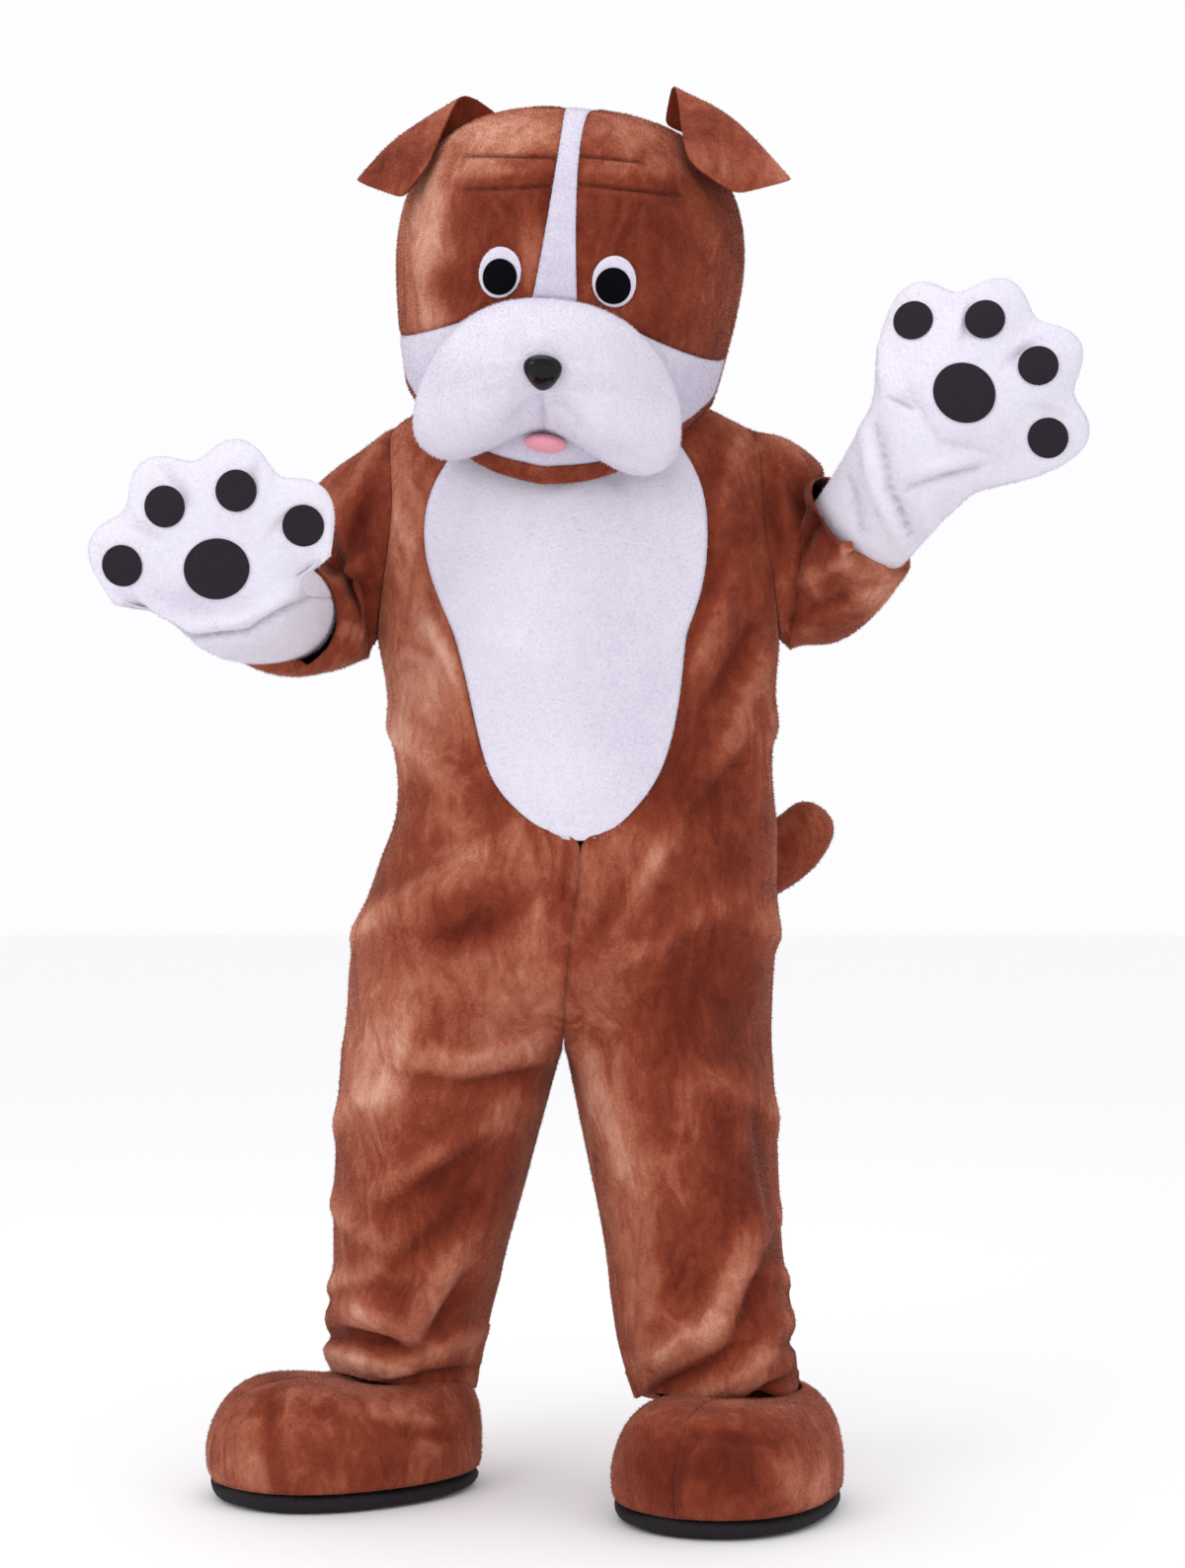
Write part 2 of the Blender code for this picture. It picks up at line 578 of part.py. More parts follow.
tail_rows = [np.repeat(on_back(np.array([TAIL_ROOT[0]]), np.array([TAIL_ROOT[1]])), TAIL_SIDES, 0)]
tail_rows.append(on_back(root_x, root_z))
for share in (0.27, 0.44, 0.61, 0.8, 0.92, 1.0):
    centre = columns_of(TAIL, "x y z", share)
    ahead = unit(columns_of(TAIL, "x y z", min(share + 0.02, 1)) - columns_of(TAIL, "x y z", share - 0.02))
    upward = unit(np.array([0, 0.2, 1.0]) - ahead * (ahead @ np.array([0, 0.2, 1.0])))
    sideways = np.cross(ahead, upward)
    radius = read(TAIL, "radius", share)
    tail_rows.append(
        centre + radius * (np.cos(turn)[:, None] * sideways + np.sin(turn)[:, None] * upward)
    )
tip = columns_of(TAIL, "x y z", 1.0) + ahead * 0.014
tail_rows.append((tail_rows[-1] + tip) / 2 + ahead * 0.006)
tail_rows.append(np.repeat(tip[None], TAIL_SIDES, 0))
skin("tail", np.array(tail_rows), BROWN)

# Head: a big soft shell of foam-backed plush, round in plan and squarer in front.
HEAD_CENTRE = np.array([-0.004, -0.020, 1.600])
HEAD_HALF_WIDTH = 0.229
HEAD_HALF_DEPTH = 0.222
HEAD_UP = 0.202
HEAD_DOWN = 0.350
HEAD_NARROW = 0.13
PLAN_POWER = 2.3
SIDE_POWER = 2.7
SOLVE_STEPS = 8
HEAD_TURN = math.radians(-2.8)
HEAD_ROLL = math.radians(5)
turned = np.array(
    [
        [math.cos(HEAD_TURN), -math.sin(HEAD_TURN), 0],
        [math.sin(HEAD_TURN), math.cos(HEAD_TURN), 0],
        [0, 0, 1],
    ]
)
rolled = np.array(
    [
        [math.cos(HEAD_ROLL), 0, math.sin(HEAD_ROLL)],
        [0, 1, 0],
        [-math.sin(HEAD_ROLL), 0, math.cos(HEAD_ROLL)],
    ]
)
HEAD_AXES = turned @ rolled


def to_world(points):
    return points @ HEAD_AXES.T + HEAD_CENTRE


def half_width(points):
    """The head's half width: narrower the steeper a place lies below the centre."""
    below = np.clip(-points[..., 2] / np.linalg.norm(points, axis=-1), 0, 1)
    return HEAD_HALF_WIDTH * (1 - HEAD_NARROW * below)


def head_level(points):
    """1 on the head's outer surface, less inside it."""
    x, y, z = np.moveaxis(np.abs(points), -1, 0)
    plan = (x / half_width(points)) ** PLAN_POWER + (y / HEAD_HALF_DEPTH) ** PLAN_POWER
    tall = np.where(points[..., 2] > 0, HEAD_UP, HEAD_DOWN)
    return (plan ** (SIDE_POWER / PLAN_POWER) + (z / tall) ** SIDE_POWER) ** (1 / SIDE_POWER)


def head(direction):
    """The head's outer surface in a direction from its centre, and its outward normal."""
    direction = unit(np.asarray(direction, float))
    points = direction / head_level(direction)[..., None]
    step = 1e-4
    slope = [head_level(points + step * axis) - head_level(points - step * axis) for axis in np.eye(3)]
    return points, unit(np.stack(slope, axis=-1))


def face_depth(x, z):
    """How far forward the head's front lies at a place, in the head's own frame."""
    x, z = np.broadcast_arrays(x, z)
    tall = np.where(z > 0, HEAD_UP, HEAD_DOWN)
    plan = (1 - np.abs(z / tall) ** SIDE_POWER) ** (PLAN_POWER / SIDE_POWER)
    depth = np.full(x.shape, -HEAD_HALF_DEPTH)
    for _ in range(SOLVE_STEPS):
        half = half_width(np.stack([x, depth, z], axis=-1))
        rest = np.clip(plan - np.abs(x / half) ** PLAN_POWER, 0, 1)
        depth = -HEAD_HALF_DEPTH * rest ** (1 / PLAN_POWER)
    return depth


# The head's seams, as directions: the stripe's edge, the seam over the ears, the lower edges.
STRIPE = table("turn half", (-18, 0.0245), (0, 0.0185), (30, 0.0112), (60, 0.0145), (90, 0.0245))
STRIPE_LOW = -18
CHEEK_SIDE = -25
FACE_ROWS = 9
FACE_COLUMNS = 6
JAW_ROWS = 6
RIM = table(
    "turn height band",
    (0, -0.296, 0.020),
    (32, -0.276, 0.020),
    (60, -0.207, 0.009),
    (88, -0.156, 0.006),
    (130, -0.161, 0.006),
    (180, -0.172, 0.006),
)
SEAM_TURN = math.radians(88)


def stripe_edge(share):
    """The right edge of the stripe, from the muzzle up to the seam over the ears."""
    turn = np.radians(STRIPE_LOW + (90 - STRIPE_LOW) * share)
    half = read(STRIPE, "half", np.degrees(turn)) / HEAD_UP
    return np.stack([half, -np.cos(turn), np.sin(turn)], axis=-1)


def ear_seam(share):
    """The seam over the ears, from the cheek up to the stripe's corner."""
    low = math.radians(CHEEK_SIDE)
    high = math.atan2(1, read(STRIPE, "half", 90.0) / HEAD_UP)
    turn = low + (high - low) * share
    side_way = np.cos(turn)
    return np.stack(
        [side_way * math.sin(SEAM_TURN), -side_way * math.cos(SEAM_TURN) * (1 - share), np.sin(turn)],
        axis=-1,
    )


def rim_direction(turn, lift=0.0):
    """A direction to the head's lower rim, or above it by a share of the band."""
    at = np.degrees(np.abs(turn))
    height = read(RIM, "height", at) + lift * read(RIM, "band", at)
    out = 1 - np.abs(height / HEAD_DOWN) ** SIDE_POWER
    reach = np.stack([np.sin(turn), -np.cos(turn)], axis=-1)
    places = np.concatenate([reach * HEAD_HALF_DEPTH, height[..., None]], axis=-1)
    for _ in range(SOLVE_STEPS):
        size = (
            np.abs(reach[..., 0] / half_width(places)) ** PLAN_POWER
            + np.abs(reach[..., 1] / HEAD_HALF_DEPTH) ** PLAN_POWER
        ) ** (1 / PLAN_POWER)
        flat = reach * (out ** (1 / SIDE_POWER) / size)[..., None]
        places = np.concatenate([flat, height[..., None]], axis=-1)
    return places


def mirrored(directions, side):
    return directions * np.array([side, 1, 1])


def shell(name, directions, finish, edges):
    """A head panel on a grid of directions, its edges drawn in for the seams."""
    points, normal = head(directions)
    inner = points - FOAM * normal
    for edge, step in edges:
        away = points[step] - points[edge]
        shift = away / np.maximum(np.linalg.norm(away, axis=-1, keepdims=True), 1e-9) * SEAM
        points[edge] += shift
        inner[edge] += shift
    if np.ptp(directions[-1], axis=0).max() < 1e-9:
        points[-1] = points[-1].mean(axis=0)
        inner[-1] = inner[-1].mean(axis=0)
    return wall(name, to_world(points), to_world(inner), finish)


face_share = np.linspace(0, 1, FACE_ROWS)
column_share = np.linspace(0, 1, FACE_COLUMNS)
whole = slice(None)
LOW, TOP = (0, whole), (-1, whole)
FIRST, LAST = (whole, 0), (whole, -1)
for name, side in SIDES.items():
    inner_edge = unit(stripe_edge(face_share))[:, None]
    outer_edge = unit(ear_seam(face_share))[:, None]
    grid = inner_edge + column_share[:, None] * (outer_edge - inner_edge)
    grid[-1] = grid[-1, :1]
    edges = [(LOW, (1, whole)), (TOP, (-2, whole)), (FIRST, (whole, 1)), (LAST, (whole, -2))]
    shell(f"face_{name}", mirrored(grid, side), BROWN, edges)

stripe_right = unit(stripe_edge(face_share))[:, None]
stripe_left = mirrored(stripe_right, -1)
stripe_share = np.linspace(0, 1, 3)
stripe_grid = stripe_left + stripe_share[:, None] * (stripe_right - stripe_left)
shell(
    "blaze", stripe_grid, WHITE, [(LOW, (1, whole)), (TOP, (-2, whole)), (FIRST, (whole, 1)), (LAST, (whole, -2))]
)

# Jaw: the white cheeks and chin below the face, then the brown band along the rim.
cheek_inner, cheek_outer = unit(stripe_edge(0.0)), unit(ear_seam(0.0))
cheek_right = cheek_inner + column_share[:, None] * (cheek_outer - cheek_inner)
jaw_top = np.concatenate(
    [mirrored(cheek_right[::-1], -1), (cheek_right[:1] * (0, 1, 1)), cheek_right], axis=0
)
jaw_turn = np.arctan2(jaw_top[:, 0], -jaw_top[:, 1])
band_top = rim_direction(jaw_turn, 1.0)
top_points, _ = head(jaw_top)
jaw_share = np.linspace(0, 1, JAW_ROWS)[:, None, None]
jaw_grid = band_top + jaw_share * (top_points - band_top)
shell(
    "jaw", jaw_grid, WHITE, [(LOW, (1, whole)), (TOP, (-2, whole)), (FIRST, (whole, 1)), (LAST, (whole, -2))]
)
band_share = np.linspace(0, 1, 2)[:, None, None]
rim_line = rim_direction(jaw_turn)
band_grid = rim_line + band_share * (band_top - rim_line)
shell("chin_band", band_grid, BROWN, [(TOP, (0, whole)), (FIRST, (whole, 1)), (LAST, (whole, -2))])

# Back of the head: two brown halves from the seam over the ears to the centre back seam.
BACK_COLUMNS = 7
CROWN = (0.003, 0.004, 1.0)
for name, side in SIDES.items():
    front_line = np.concatenate(
        [
            head(band_grid[:, -1])[0],
            head(jaw_grid[1:, -1])[0],
            head(ear_seam(face_share[1:]))[0],
            head(np.array([[0.0, 0.0, 1.0]]))[0],
        ]
    )
    rows = len(front_line)
    back_low = math.atan2(float(read(RIM, "height", 180.0)), HEAD_HALF_DEPTH * 0.9)
    back_turn = np.linspace(back_low, np.pi / 2, rows)
    back_line = head(np.stack([0 * back_turn, np.cos(back_turn), np.sin(back_turn)], axis=-1))[0]
    share = np.linspace(0, 1, BACK_COLUMNS)[:, None]
    front_way, back_way = unit(front_line), unit(back_line)
    front_spin = np.arctan2(front_way[:, 0], -front_way[:, 1])
    spin = front_spin + share * (np.pi - front_spin)
    front_climb, back_climb = np.arcsin(front_way[:, 2]), np.arcsin(back_way[:, 2])
    climb = front_climb + share * (back_climb - front_climb)
    level = np.cos(climb)
    grid = np.stack([np.sin(spin) * level, -np.cos(spin) * level, np.sin(climb)], axis=-1)
    grid = grid.transpose(1, 0, 2)
    grid[-1] = CROWN
    edges = [(FIRST, (whole, 1)), (LAST, (whole, -2))]
    shell(f"head_back_{name}", mirrored(grid, side), BROWN, edges)

# Muzzle: a stuffed piece with two hanging jowls, sewn over the jaw.
MUZZLE = table(
    "share x z",
    (0.00, 0.000, -0.072),
    (0.12, 0.065, -0.080),
    (0.25, 0.122, -0.112),
    (0.38, 0.160, -0.165),
    (0.50, 0.172, -0.220),
    (0.62, 0.162, -0.262),
    (0.72, 0.130, -0.279),
    (0.84, 0.078, -0.265),
    (0.93, 0.036, -0.243),
    (1.00, 0.000, -0.230),
)
MUZZLE_MIDDLE = -0.160
MUZZLE_DEPTH = 0.098
MUZZLE_REST = -0.150
MUZZLE_SIDES = 30
MUZZLE_CLEAR = 0.0028


def muzzle_outline(turn):
    """The muzzle's seam: turn runs 0 at the top over the right to 1 at the mouth and back."""
    share = 1 - np.abs(1 - 2 * turn)
    side = np.where(turn > 0.5, -1, 1)
    return np.stack([side * read(MUZZLE, "x", share), read(MUZZLE, "z", share)], axis=-1)


def muzzle_back(x, z):
    return np.minimum(face_depth(x, z), MUZZLE_REST) - MUZZLE_CLEAR


def muzzle_ring(reach, front):
    """A ring of the muzzle at a share of the way out to its seam."""
    turn = np.linspace(0, 1, MUZZLE_SIDES, endpoint=False)
    middle = np.array([0, MUZZLE_MIDDLE])
    place = middle + reach * (muzzle_outline(turn) - middle)
    dome = (1 - reach**2.6) ** 0.5
    cleft = 1 - 0.22 * np.exp(-((place[:, 0] / 0.030) ** 2)) * np.clip(-(place[:, 1] + 0.165) / 0.05, 0, 1)
    jowl = 1 + 0.10 * np.exp(-(((np.abs(place[:, 0]) - 0.09) / 0.05) ** 2)) * (place[:, 1] < -0.16)
    depth = muzzle_back(place[:, 0], place[:, 1]) - (front * MUZZLE_DEPTH * dome * cleft * jowl)
    return np.stack([place[:, 0], depth, place[:, 1]], axis=-1)


muzzle_rows = [muzzle_ring(reach, 1) for reach in (0, 0.25, 0.48, 0.68, 0.83, 0.93, 0.98, 1)]
muzzle_rows += [muzzle_ring(reach, 0) for reach in (0.93, 0.82, 0.66, 0.48, 0.26, 0)]
muzzle = skin("muzzle", to_world(np.array(muzzle_rows)), WHITE)


def lay_on(name, carriers, centre, right, up, outward, outline, lift, rise, finish, rings=(0.55, 1)):
    """A pad laid on other solids: each point is dropped onto them and moved out again."""
    trees = [
        BVHTree.FromPolygons([v.co for v in c.data.vertices], [p.vertices[:] for p in c.data.polygons])
        for c in carriers
    ]

    def dropped(place):
        start = centre + place[0] * right + place[1] * up + outward * 0.3
        hits = [tree.ray_cast(Vector(start), Vector(-outward)) for tree in trees]
        return min((hit for hit in hits if hit[0] is not None), key=lambda hit: hit[3])[0]

    rows_low, rows_high = [], []
    for share in (0, *rings):
        low = np.array([dropped(place * share) for place in outline]) + outward * lift
        rows_low.append(low)
        rows_high.append(low + outward * rise * (1 - 0.55 * share**3))
    return skin(name, np.array(rows_high + rows_low[::-1]), finish)


def oval(wide, tall, count=14, point=0.0):
    """An oval's points, narrowed to a point below by a share."""
    turn = np.linspace(0, 2 * np.pi, count, endpoint=False)
    narrow = 1 - point * (1 - np.sin(turn)) / 2
    return np.stack([wide * np.cos(turn) * narrow, tall * np.sin(turn)], axis=-1)


solids = bpy.data.objects
HEAD_RIGHT, HEAD_BACKWARD, HEAD_TOPWARD = HEAD_AXES.T
NOSE_PLACE = (0.0, -0.1745)
NOSE_SIZE = (0.030, 0.0205)
NOSE_RISE = 0.020
lay_on(
    "nose", [muzzle], to_world(np.array([NOSE_PLACE[0], -0.30, NOSE_PLACE[1]])), HEAD_RIGHT, HEAD_TOPWARD,
    -HEAD_BACKWARD, oval(*NOSE_SIZE, 18, 0.45), LIFT * 2, NOSE_RISE, NOSE, (0.4, 0.7, 0.9, 1),
)

# Tongue: a pink tab on the jaw, below the middle of the muzzle.
TONGUE_PLACE = (0.002, -0.2475)
TONGUE_SIZE = (0.028, 0.0115)
TONGUE_RISE = 0.034
lay_on(
    "tongue", [solids["jaw"]], to_world(np.array([TONGUE_PLACE[0], -0.25, TONGUE_PLACE[1]])),
    HEAD_RIGHT, HEAD_TOPWARD, -HEAD_BACKWARD, oval(*TONGUE_SIZE, 14), LIFT, TONGUE_RISE, PINK,
)

# Eyes: a white plush ring-shaped patch and a black mesh disc on it.
EYE_PLACE = (0.067, -0.040)
EYE_WHITE = (0.029, 0.033)
EYE_MESH = (0.0235, 0.0235)
EYE_DROP = 0.006
EYE_INWARD = 0.0015
EYE_RISE = 0.004
for name, side in SIDES.items():
    outward, _ = head(np.array([side * EYE_PLACE[0], -0.2, EYE_PLACE[1]]))
    out = unit(HEAD_AXES @ head(outward)[1])
    right = unit(np.cross(HEAD_TOPWARD, out))
    upward = np.cross(out, right)
    centre = to_world(outward)
    white = lay_on(
        f"eye_white_{name}", [solids[f"face_{name}"]], centre, right, upward, out,
        oval(*EYE_WHITE, 18), LIFT, EYE_RISE, WHITE,
    )
    lay_on(
        f"eye_mesh_{name}", [white], centre - upward * EYE_DROP - right * side * EYE_INWARD, right, upward, out,
        oval(*EYE_MESH, 16), LIFT * 1.5, 0.002, MESH,
    )

# Ears: leaves of two cloths, sewn to the head's upper corners and folded over to the front.
EAR_PLACES = "inner_x inner_y inner_z middle_x middle_y middle_z outer_x outer_y outer_z"
EARS = {
    "left": table(
        "share " + EAR_PLACES,
        (0.0, 0.1230, -0.020, 0.178, 0.172, -0.035, 0.135, 0.196, -0.075, 0.085),
        (0.4, 0.1640, -0.035, 0.210, 0.230, -0.062, 0.150, 0.275, -0.090, 0.082),
        (1.0, 0.1820, -0.090, 0.160, 0.190, -0.136, 0.098, 0.214, -0.142, 0.051),
    ),
    "right": table(
        "share " + EAR_PLACES,
        (0.0, 0.1010, -0.020, 0.182, 0.152, -0.032, 0.152, 0.190, -0.062, 0.110),
        (0.4, 0.1140, -0.050, 0.240, 0.198, -0.070, 0.200, 0.278, -0.085, 0.125),
        (1.0, 0.1380, -0.134, 0.158, 0.153, -0.166, 0.118, 0.212, -0.132, 0.091),
    ),
}
EAR_LIFT = 0.0032
EAR_PLUSH = 0.0018
EAR_SHARES = np.linspace(0, 1, 9)
EAR_ACROSS = np.linspace(0, 1, 7)
for name, side in SIDES.items():
    rows = []
    for share in EAR_SHARES:
        knots = columns_of(EARS[name], EAR_PLACES, share).reshape(3, 3)
        across = {"across": np.array([0, 0.5, 1.0]), "x": knots[:, 0], "y": knots[:, 1], "z": knots[:, 2]}
        rows.append(columns_of(across, "x y z", EAR_ACROSS))
    grid = np.array(rows)
    base, base_normal = head(grid[0])
    settle = (base + base_normal * EAR_LIFT - grid[0]) * (1 - EAR_SHARES[:, None, None] / 0.4).clip(0)
    grid = grid + settle
    normal = unit(np.cross(np.gradient(grid, axis=1), np.gradient(grid, axis=0)))
    normal = normal * np.sign(normal[4, 3, 2])
    grid, normal = mirrored(grid, side), mirrored(normal, side)
    for part, start, end in (("outer", SEAM / 2, EAR_PLUSH), ("lining", -SEAM / 2, -EAR_PLUSH)):
        wall(
            f"ear_{part}_{name}", to_world(grid + start * normal), to_world(grid + end * normal), BROWN
        )

# Mitts: a palm and a back each, in a hand frame of right, fingers and palm directions.
PAW = table(
    "share x z",
    (0.00, 0.000, 0.128),
    (0.10, 0.022, 0.142),
    (0.22, 0.050, 0.150),
    (0.34, 0.076, 0.138),
    (0.44, 0.090, 0.108),
    (0.52, 0.096, 0.084),
    (0.62, 0.126, 0.086),
    (0.73, 0.152, 0.064),
    (0.83, 0.154, 0.026),
    (0.92, 0.128, -0.026),
    (1.00, 0.092, -0.062),
)
HANDS = {
    "left": {
        "palm": np.array([-0.424, -0.345, 1.188]),
        "fingers": unit(np.array([-0.215, -0.10, 0.970])),
        "facing": unit(np.array([-0.02, -0.99, -0.10])),
        "wrist": (-0.030, -0.040),
        "wrist_turn": math.radians(52),
        "cuff": np.array([-0.3665, -0.060, 1.1535]),
        "cuff_way": unit(np.array([0.20, 0.97, -0.02])),
        "reach": 0.078,
        "cuff_radius": 0.0651,
    },
    "right": {
        "palm": np.array([0.493, -0.205, 1.410]),
        "fingers": unit(np.array([0.66, -0.10, 0.744])),
        "facing": unit(np.array([-0.16, -0.985, 0.0])),
        "wrist": (-0.082, -0.012),
        "wrist_turn": math.radians(8),
        "cuff": np.array([0.3570, -0.037, 1.2357]),
        "cuff_way": unit(np.array([-0.55, 0.60, -0.58])),
        "reach": 0.072,
        "cuff_radius": 0.0685,
    },
}
PAW_COLUMNS = 21
FAN_SHARES = (0.16, 0.38, 0.60, 0.78, 0.91, 1.0)
GAUNTLET_SHARES = (1.0, 0.66, 0.33, 0.0)
PALM_RISE = 0.038
BACK_RISE = 0.042
WRIST_HALF = 0.084
RIM_DEPTH = 0.004
PAW_HANG = 0.004
PAD_HEEL = (0.037, 0.034)
PAD_TOE = (0.0235, 0.024)
TOE_PADS = ((-0.112, 0.028), (-0.044, 0.086), (0.044, 0.086), (0.112, 0.028))


def paw_outline(turn):
    """The paw's seam, turn 0 at its lower left over the toes to 1 at its lower right."""
    share = np.abs(1 - 2 * turn)
    side = np.where(turn < 0.5, -1, 1)
    return side * read(PAW, "x", share), read(PAW, "z", share)


def mitt_frame(name):
    """The hand's right, fingers and palm directions, and its wrist's place, way and palm side."""
    hand = HANDS[name]
    fingers = hand["fingers"]
    facing = unit(hand["facing"] - fingers * (fingers @ hand["facing"]))
    right = np.cross(fingers, facing)
    tilt = hand["wrist_turn"]
    wrist = hand["palm"] + fingers * hand["wrist"][0] + facing * hand["wrist"][1]
    wrist_way = -fingers * math.cos(tilt) - facing * math.sin(tilt)
    wrist_out = facing * math.cos(tilt) - fingers * math.sin(tilt)
    return right, fingers, facing, wrist, wrist_way, wrist_out


def mitt_side(name, front, rise):
    """The outer points of one side of a mitt, with the points that its wall faces."""
    hand = HANDS[name]
    right, fingers, facing, wrist, wrist_way, wrist_out = mitt_frame(name)
    turn = np.linspace(0, 1, PAW_COLUMNS)
    swing = np.pi * turn
    seam_x, seam_z = paw_outline(turn)
    seam_z = np.maximum(seam_z, hand["wrist"][0] - PAW_HANG)
    seam_line = hand["palm"] + seam_x[:, None] * right + seam_z[:, None] * fingers
    wide, tall = WRIST_HALF, hand["reach"]
    ring = wrist - np.cos(swing)[:, None] * right * wide + front * np.sin(swing)[:, None] * wrist_out * tall
    reach = np.linalg.norm(hand["cuff"] - wrist)
    rows, cores = [], []
    for share in GAUNTLET_SHARES:
        bow = 3 * share * (1 - share)
        centre = (
            wrist * (1 - share) ** 3
            + (wrist + wrist_way * reach / 3) * bow * (1 - share)
            + (hand["cuff"] - hand["cuff_way"] * reach / 3) * bow * share
            + hand["cuff"] * share**3
        )
        way = unit(wrist_way * (1 - share) + hand["cuff_way"] * share)
        across = unit(right - way * (way @ right))
        out = np.cross(way, across)
        out = out * np.sign(out @ wrist_out)
        slim = share**0.5
        w = wide + (hand["cuff_radius"] - wide) * slim
        h = tall + (hand["cuff_radius"] - tall) * slim
        rows.append(
            centre - np.cos(swing)[:, None] * across * w + front * np.sin(swing)[:, None] * out * h
        )
        cores.append(centre)
    for share in FAN_SHARES:
        swell = np.sin(swing) ** 0.5 * (share * (1 - share**2.5)) ** 0.6 * rise
        rows.append(ring + share * (seam_line - ring) + front * swell[:, None] * facing)
        cores.append(wrist + share * (hand["palm"] - wrist))
    return np.array(rows), np.array(cores)


def mitt_panel(name, part):
    """The palm or the back of a mitt, from the cuff to the toes."""
    facing = mitt_frame(name)[2]
    palm_side, cores = mitt_side(name, 1, PALM_RISE)
    back_side, _ = mitt_side(name, -1, BACK_RISE)
    front = 1 if part == "palm" else -1
    outer = palm_side if part == "palm" else back_side
    middle = (palm_side + back_side) / 2
    tube = len(GAUNTLET_SHARES)
    to_core = unit(cores[:, None] - outer)
    room = np.linalg.norm(middle - outer, axis=-1, keepdims=True)
    outward = unit(np.cross(np.gradient(outer, axis=1), np.gradient(outer, axis=0)))
    outward = outward * np.sign(np.sum(outward * (outer - middle)))
    inner = outer - outward * np.clip(room * 0.6 - SEAM, 0, PLUSH)
    inner[:tube] = outer[:tube] + PLUSH * to_core[:tube]
    inner[-1] = outer[-1] + RIM_DEPTH * to_core[-1]
    for column in (0, -1):
        inner[tube:, column] = outer[tube:, column] + RIM_DEPTH * to_core[tube:, column]
    away = front * facing * SEAM * 0.7
    return wall(f"mitt_{part}_{name}", outer + away, inner + away, WHITE)


for name in SIDES:
    mitt_panel(name, "back")
    palm = mitt_panel(name, "palm")
    right, fingers, facing = mitt_frame(name)[:3]
    centre = HANDS[name]["palm"]
    lay_on(f"heel_pad_{name}", [palm], centre, right, fingers, facing, oval(*PAD_HEEL, 16), LIFT, 0.0022, FELT)
    for number, (x, z) in enumerate(TOE_PADS, 1):
        place = centre + x * right + z * fingers
        lay_on(
            f"toe_pad_{name}_{number}", [palm], place, right, fingers, facing, oval(*PAD_TOE, 12), LIFT * 1.6,
            0.0022, FELT,
        )

# Boot covers, made on the functions above.
for name in SIDES:
    for half, spin in (("one", 1), ("two", -1)):
        turn = np.linspace(0, np.pi, BOOT_COLUMNS) * spin
        turn_grid, share_grid = np.meshgrid(turn, BOOT_SHARES)
        points = boot_points(name, turn_grid, share_grid)
        step = 1e-3
        across = boot_points(name, turn_grid + step, share_grid) - boot_points(name, turn_grid - step, share_grid)
        high, low = np.clip(share_grid + step, 0, 1), np.clip(share_grid - step, 0, 1)
        rise = boot_points(name, turn_grid, high) - boot_points(name, turn_grid, low)
        normal = unit(np.cross(across, rise))
        inner = points - PLUSH * normal
        side_way = boot_frame(name)[2]
        for grid in (points, inner):
            grid[:, 0] += side_way * spin * SEAM * 0.6
            grid[:, -1] += side_way * spin * SEAM * 0.6
        inner[0, :, 2] = points[0, :, 2]
        wall(f"boot_{half}_{name}", points, inner, BROWN)
    ankle, toe, side_way = boot_frame(name)
    turn = np.linspace(0, 2 * np.pi, 2 * (BOOT_COLUMNS - 1), endpoint=False)
    along, across = sole_edge(turn)
    edge = ankle + along[:, None] * toe + across[:, None] * side_way
    middle = edge.mean(axis=0)
    rows = []
    for size, height in ((0, 0.0), (0.93, 0.0), (0.985, 0.008), (1.0, SOLE_HEIGHT), (0, SOLE_HEIGHT)):
        rows.append(middle + size * (edge - middle) + np.array([0, 0, height]))
    skin(f"sole_{name}", np.array(rows), SOLE)
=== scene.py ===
"""Dog mascot costume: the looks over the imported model, in metres, the front towards -Y.

The origin is at the wearer's shoulders, 1.38 m above the floor. Left and right are the viewer's.
"""

import math

import bmesh
import bpy
import numpy as np
from mathutils.kdtree import KDTree
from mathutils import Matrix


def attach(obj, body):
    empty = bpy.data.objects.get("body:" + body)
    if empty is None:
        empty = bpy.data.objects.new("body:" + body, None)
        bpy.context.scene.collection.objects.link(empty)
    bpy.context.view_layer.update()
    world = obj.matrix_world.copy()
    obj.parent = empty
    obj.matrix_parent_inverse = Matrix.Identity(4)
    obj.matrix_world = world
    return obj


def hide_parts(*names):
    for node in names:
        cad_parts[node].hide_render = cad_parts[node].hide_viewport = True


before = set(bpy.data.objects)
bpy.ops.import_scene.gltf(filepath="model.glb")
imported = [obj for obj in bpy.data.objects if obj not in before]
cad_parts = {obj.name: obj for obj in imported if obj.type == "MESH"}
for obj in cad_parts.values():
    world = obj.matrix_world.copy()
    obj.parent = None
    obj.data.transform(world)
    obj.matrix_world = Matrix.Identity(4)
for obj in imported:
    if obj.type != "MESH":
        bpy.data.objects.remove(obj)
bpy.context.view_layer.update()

# Studio
# The camera stands level 4.1 m in front, opposite the waist. Light is broad and soft, from
# both front corners and above, over a pale floor half a millimetre under the soles.
scene = bpy.context.scene
scene.view_settings.view_transform = "Standard"
PHOTO_HEIGHT = 1588
SENSOR = 24.0
CAMERA_AWAY = 4.1
CAMERA_X = 0.026
CAMERA_Z = -0.4522
PIXEL = 0.0013
FOCAL_PIXELS = 3153.8
camera_data = bpy.data.cameras.new("camera")
camera_data.sensor_fit = "VERTICAL"
camera_data.sensor_height = SENSOR
camera_data.lens = SENSOR * FOCAL_PIXELS / PHOTO_HEIGHT
camera = bpy.data.objects.new("camera", camera_data)
camera.location = (CAMERA_X, -CAMERA_AWAY, CAMERA_Z)
camera.rotation_euler = (math.radians(90), 0, 0)
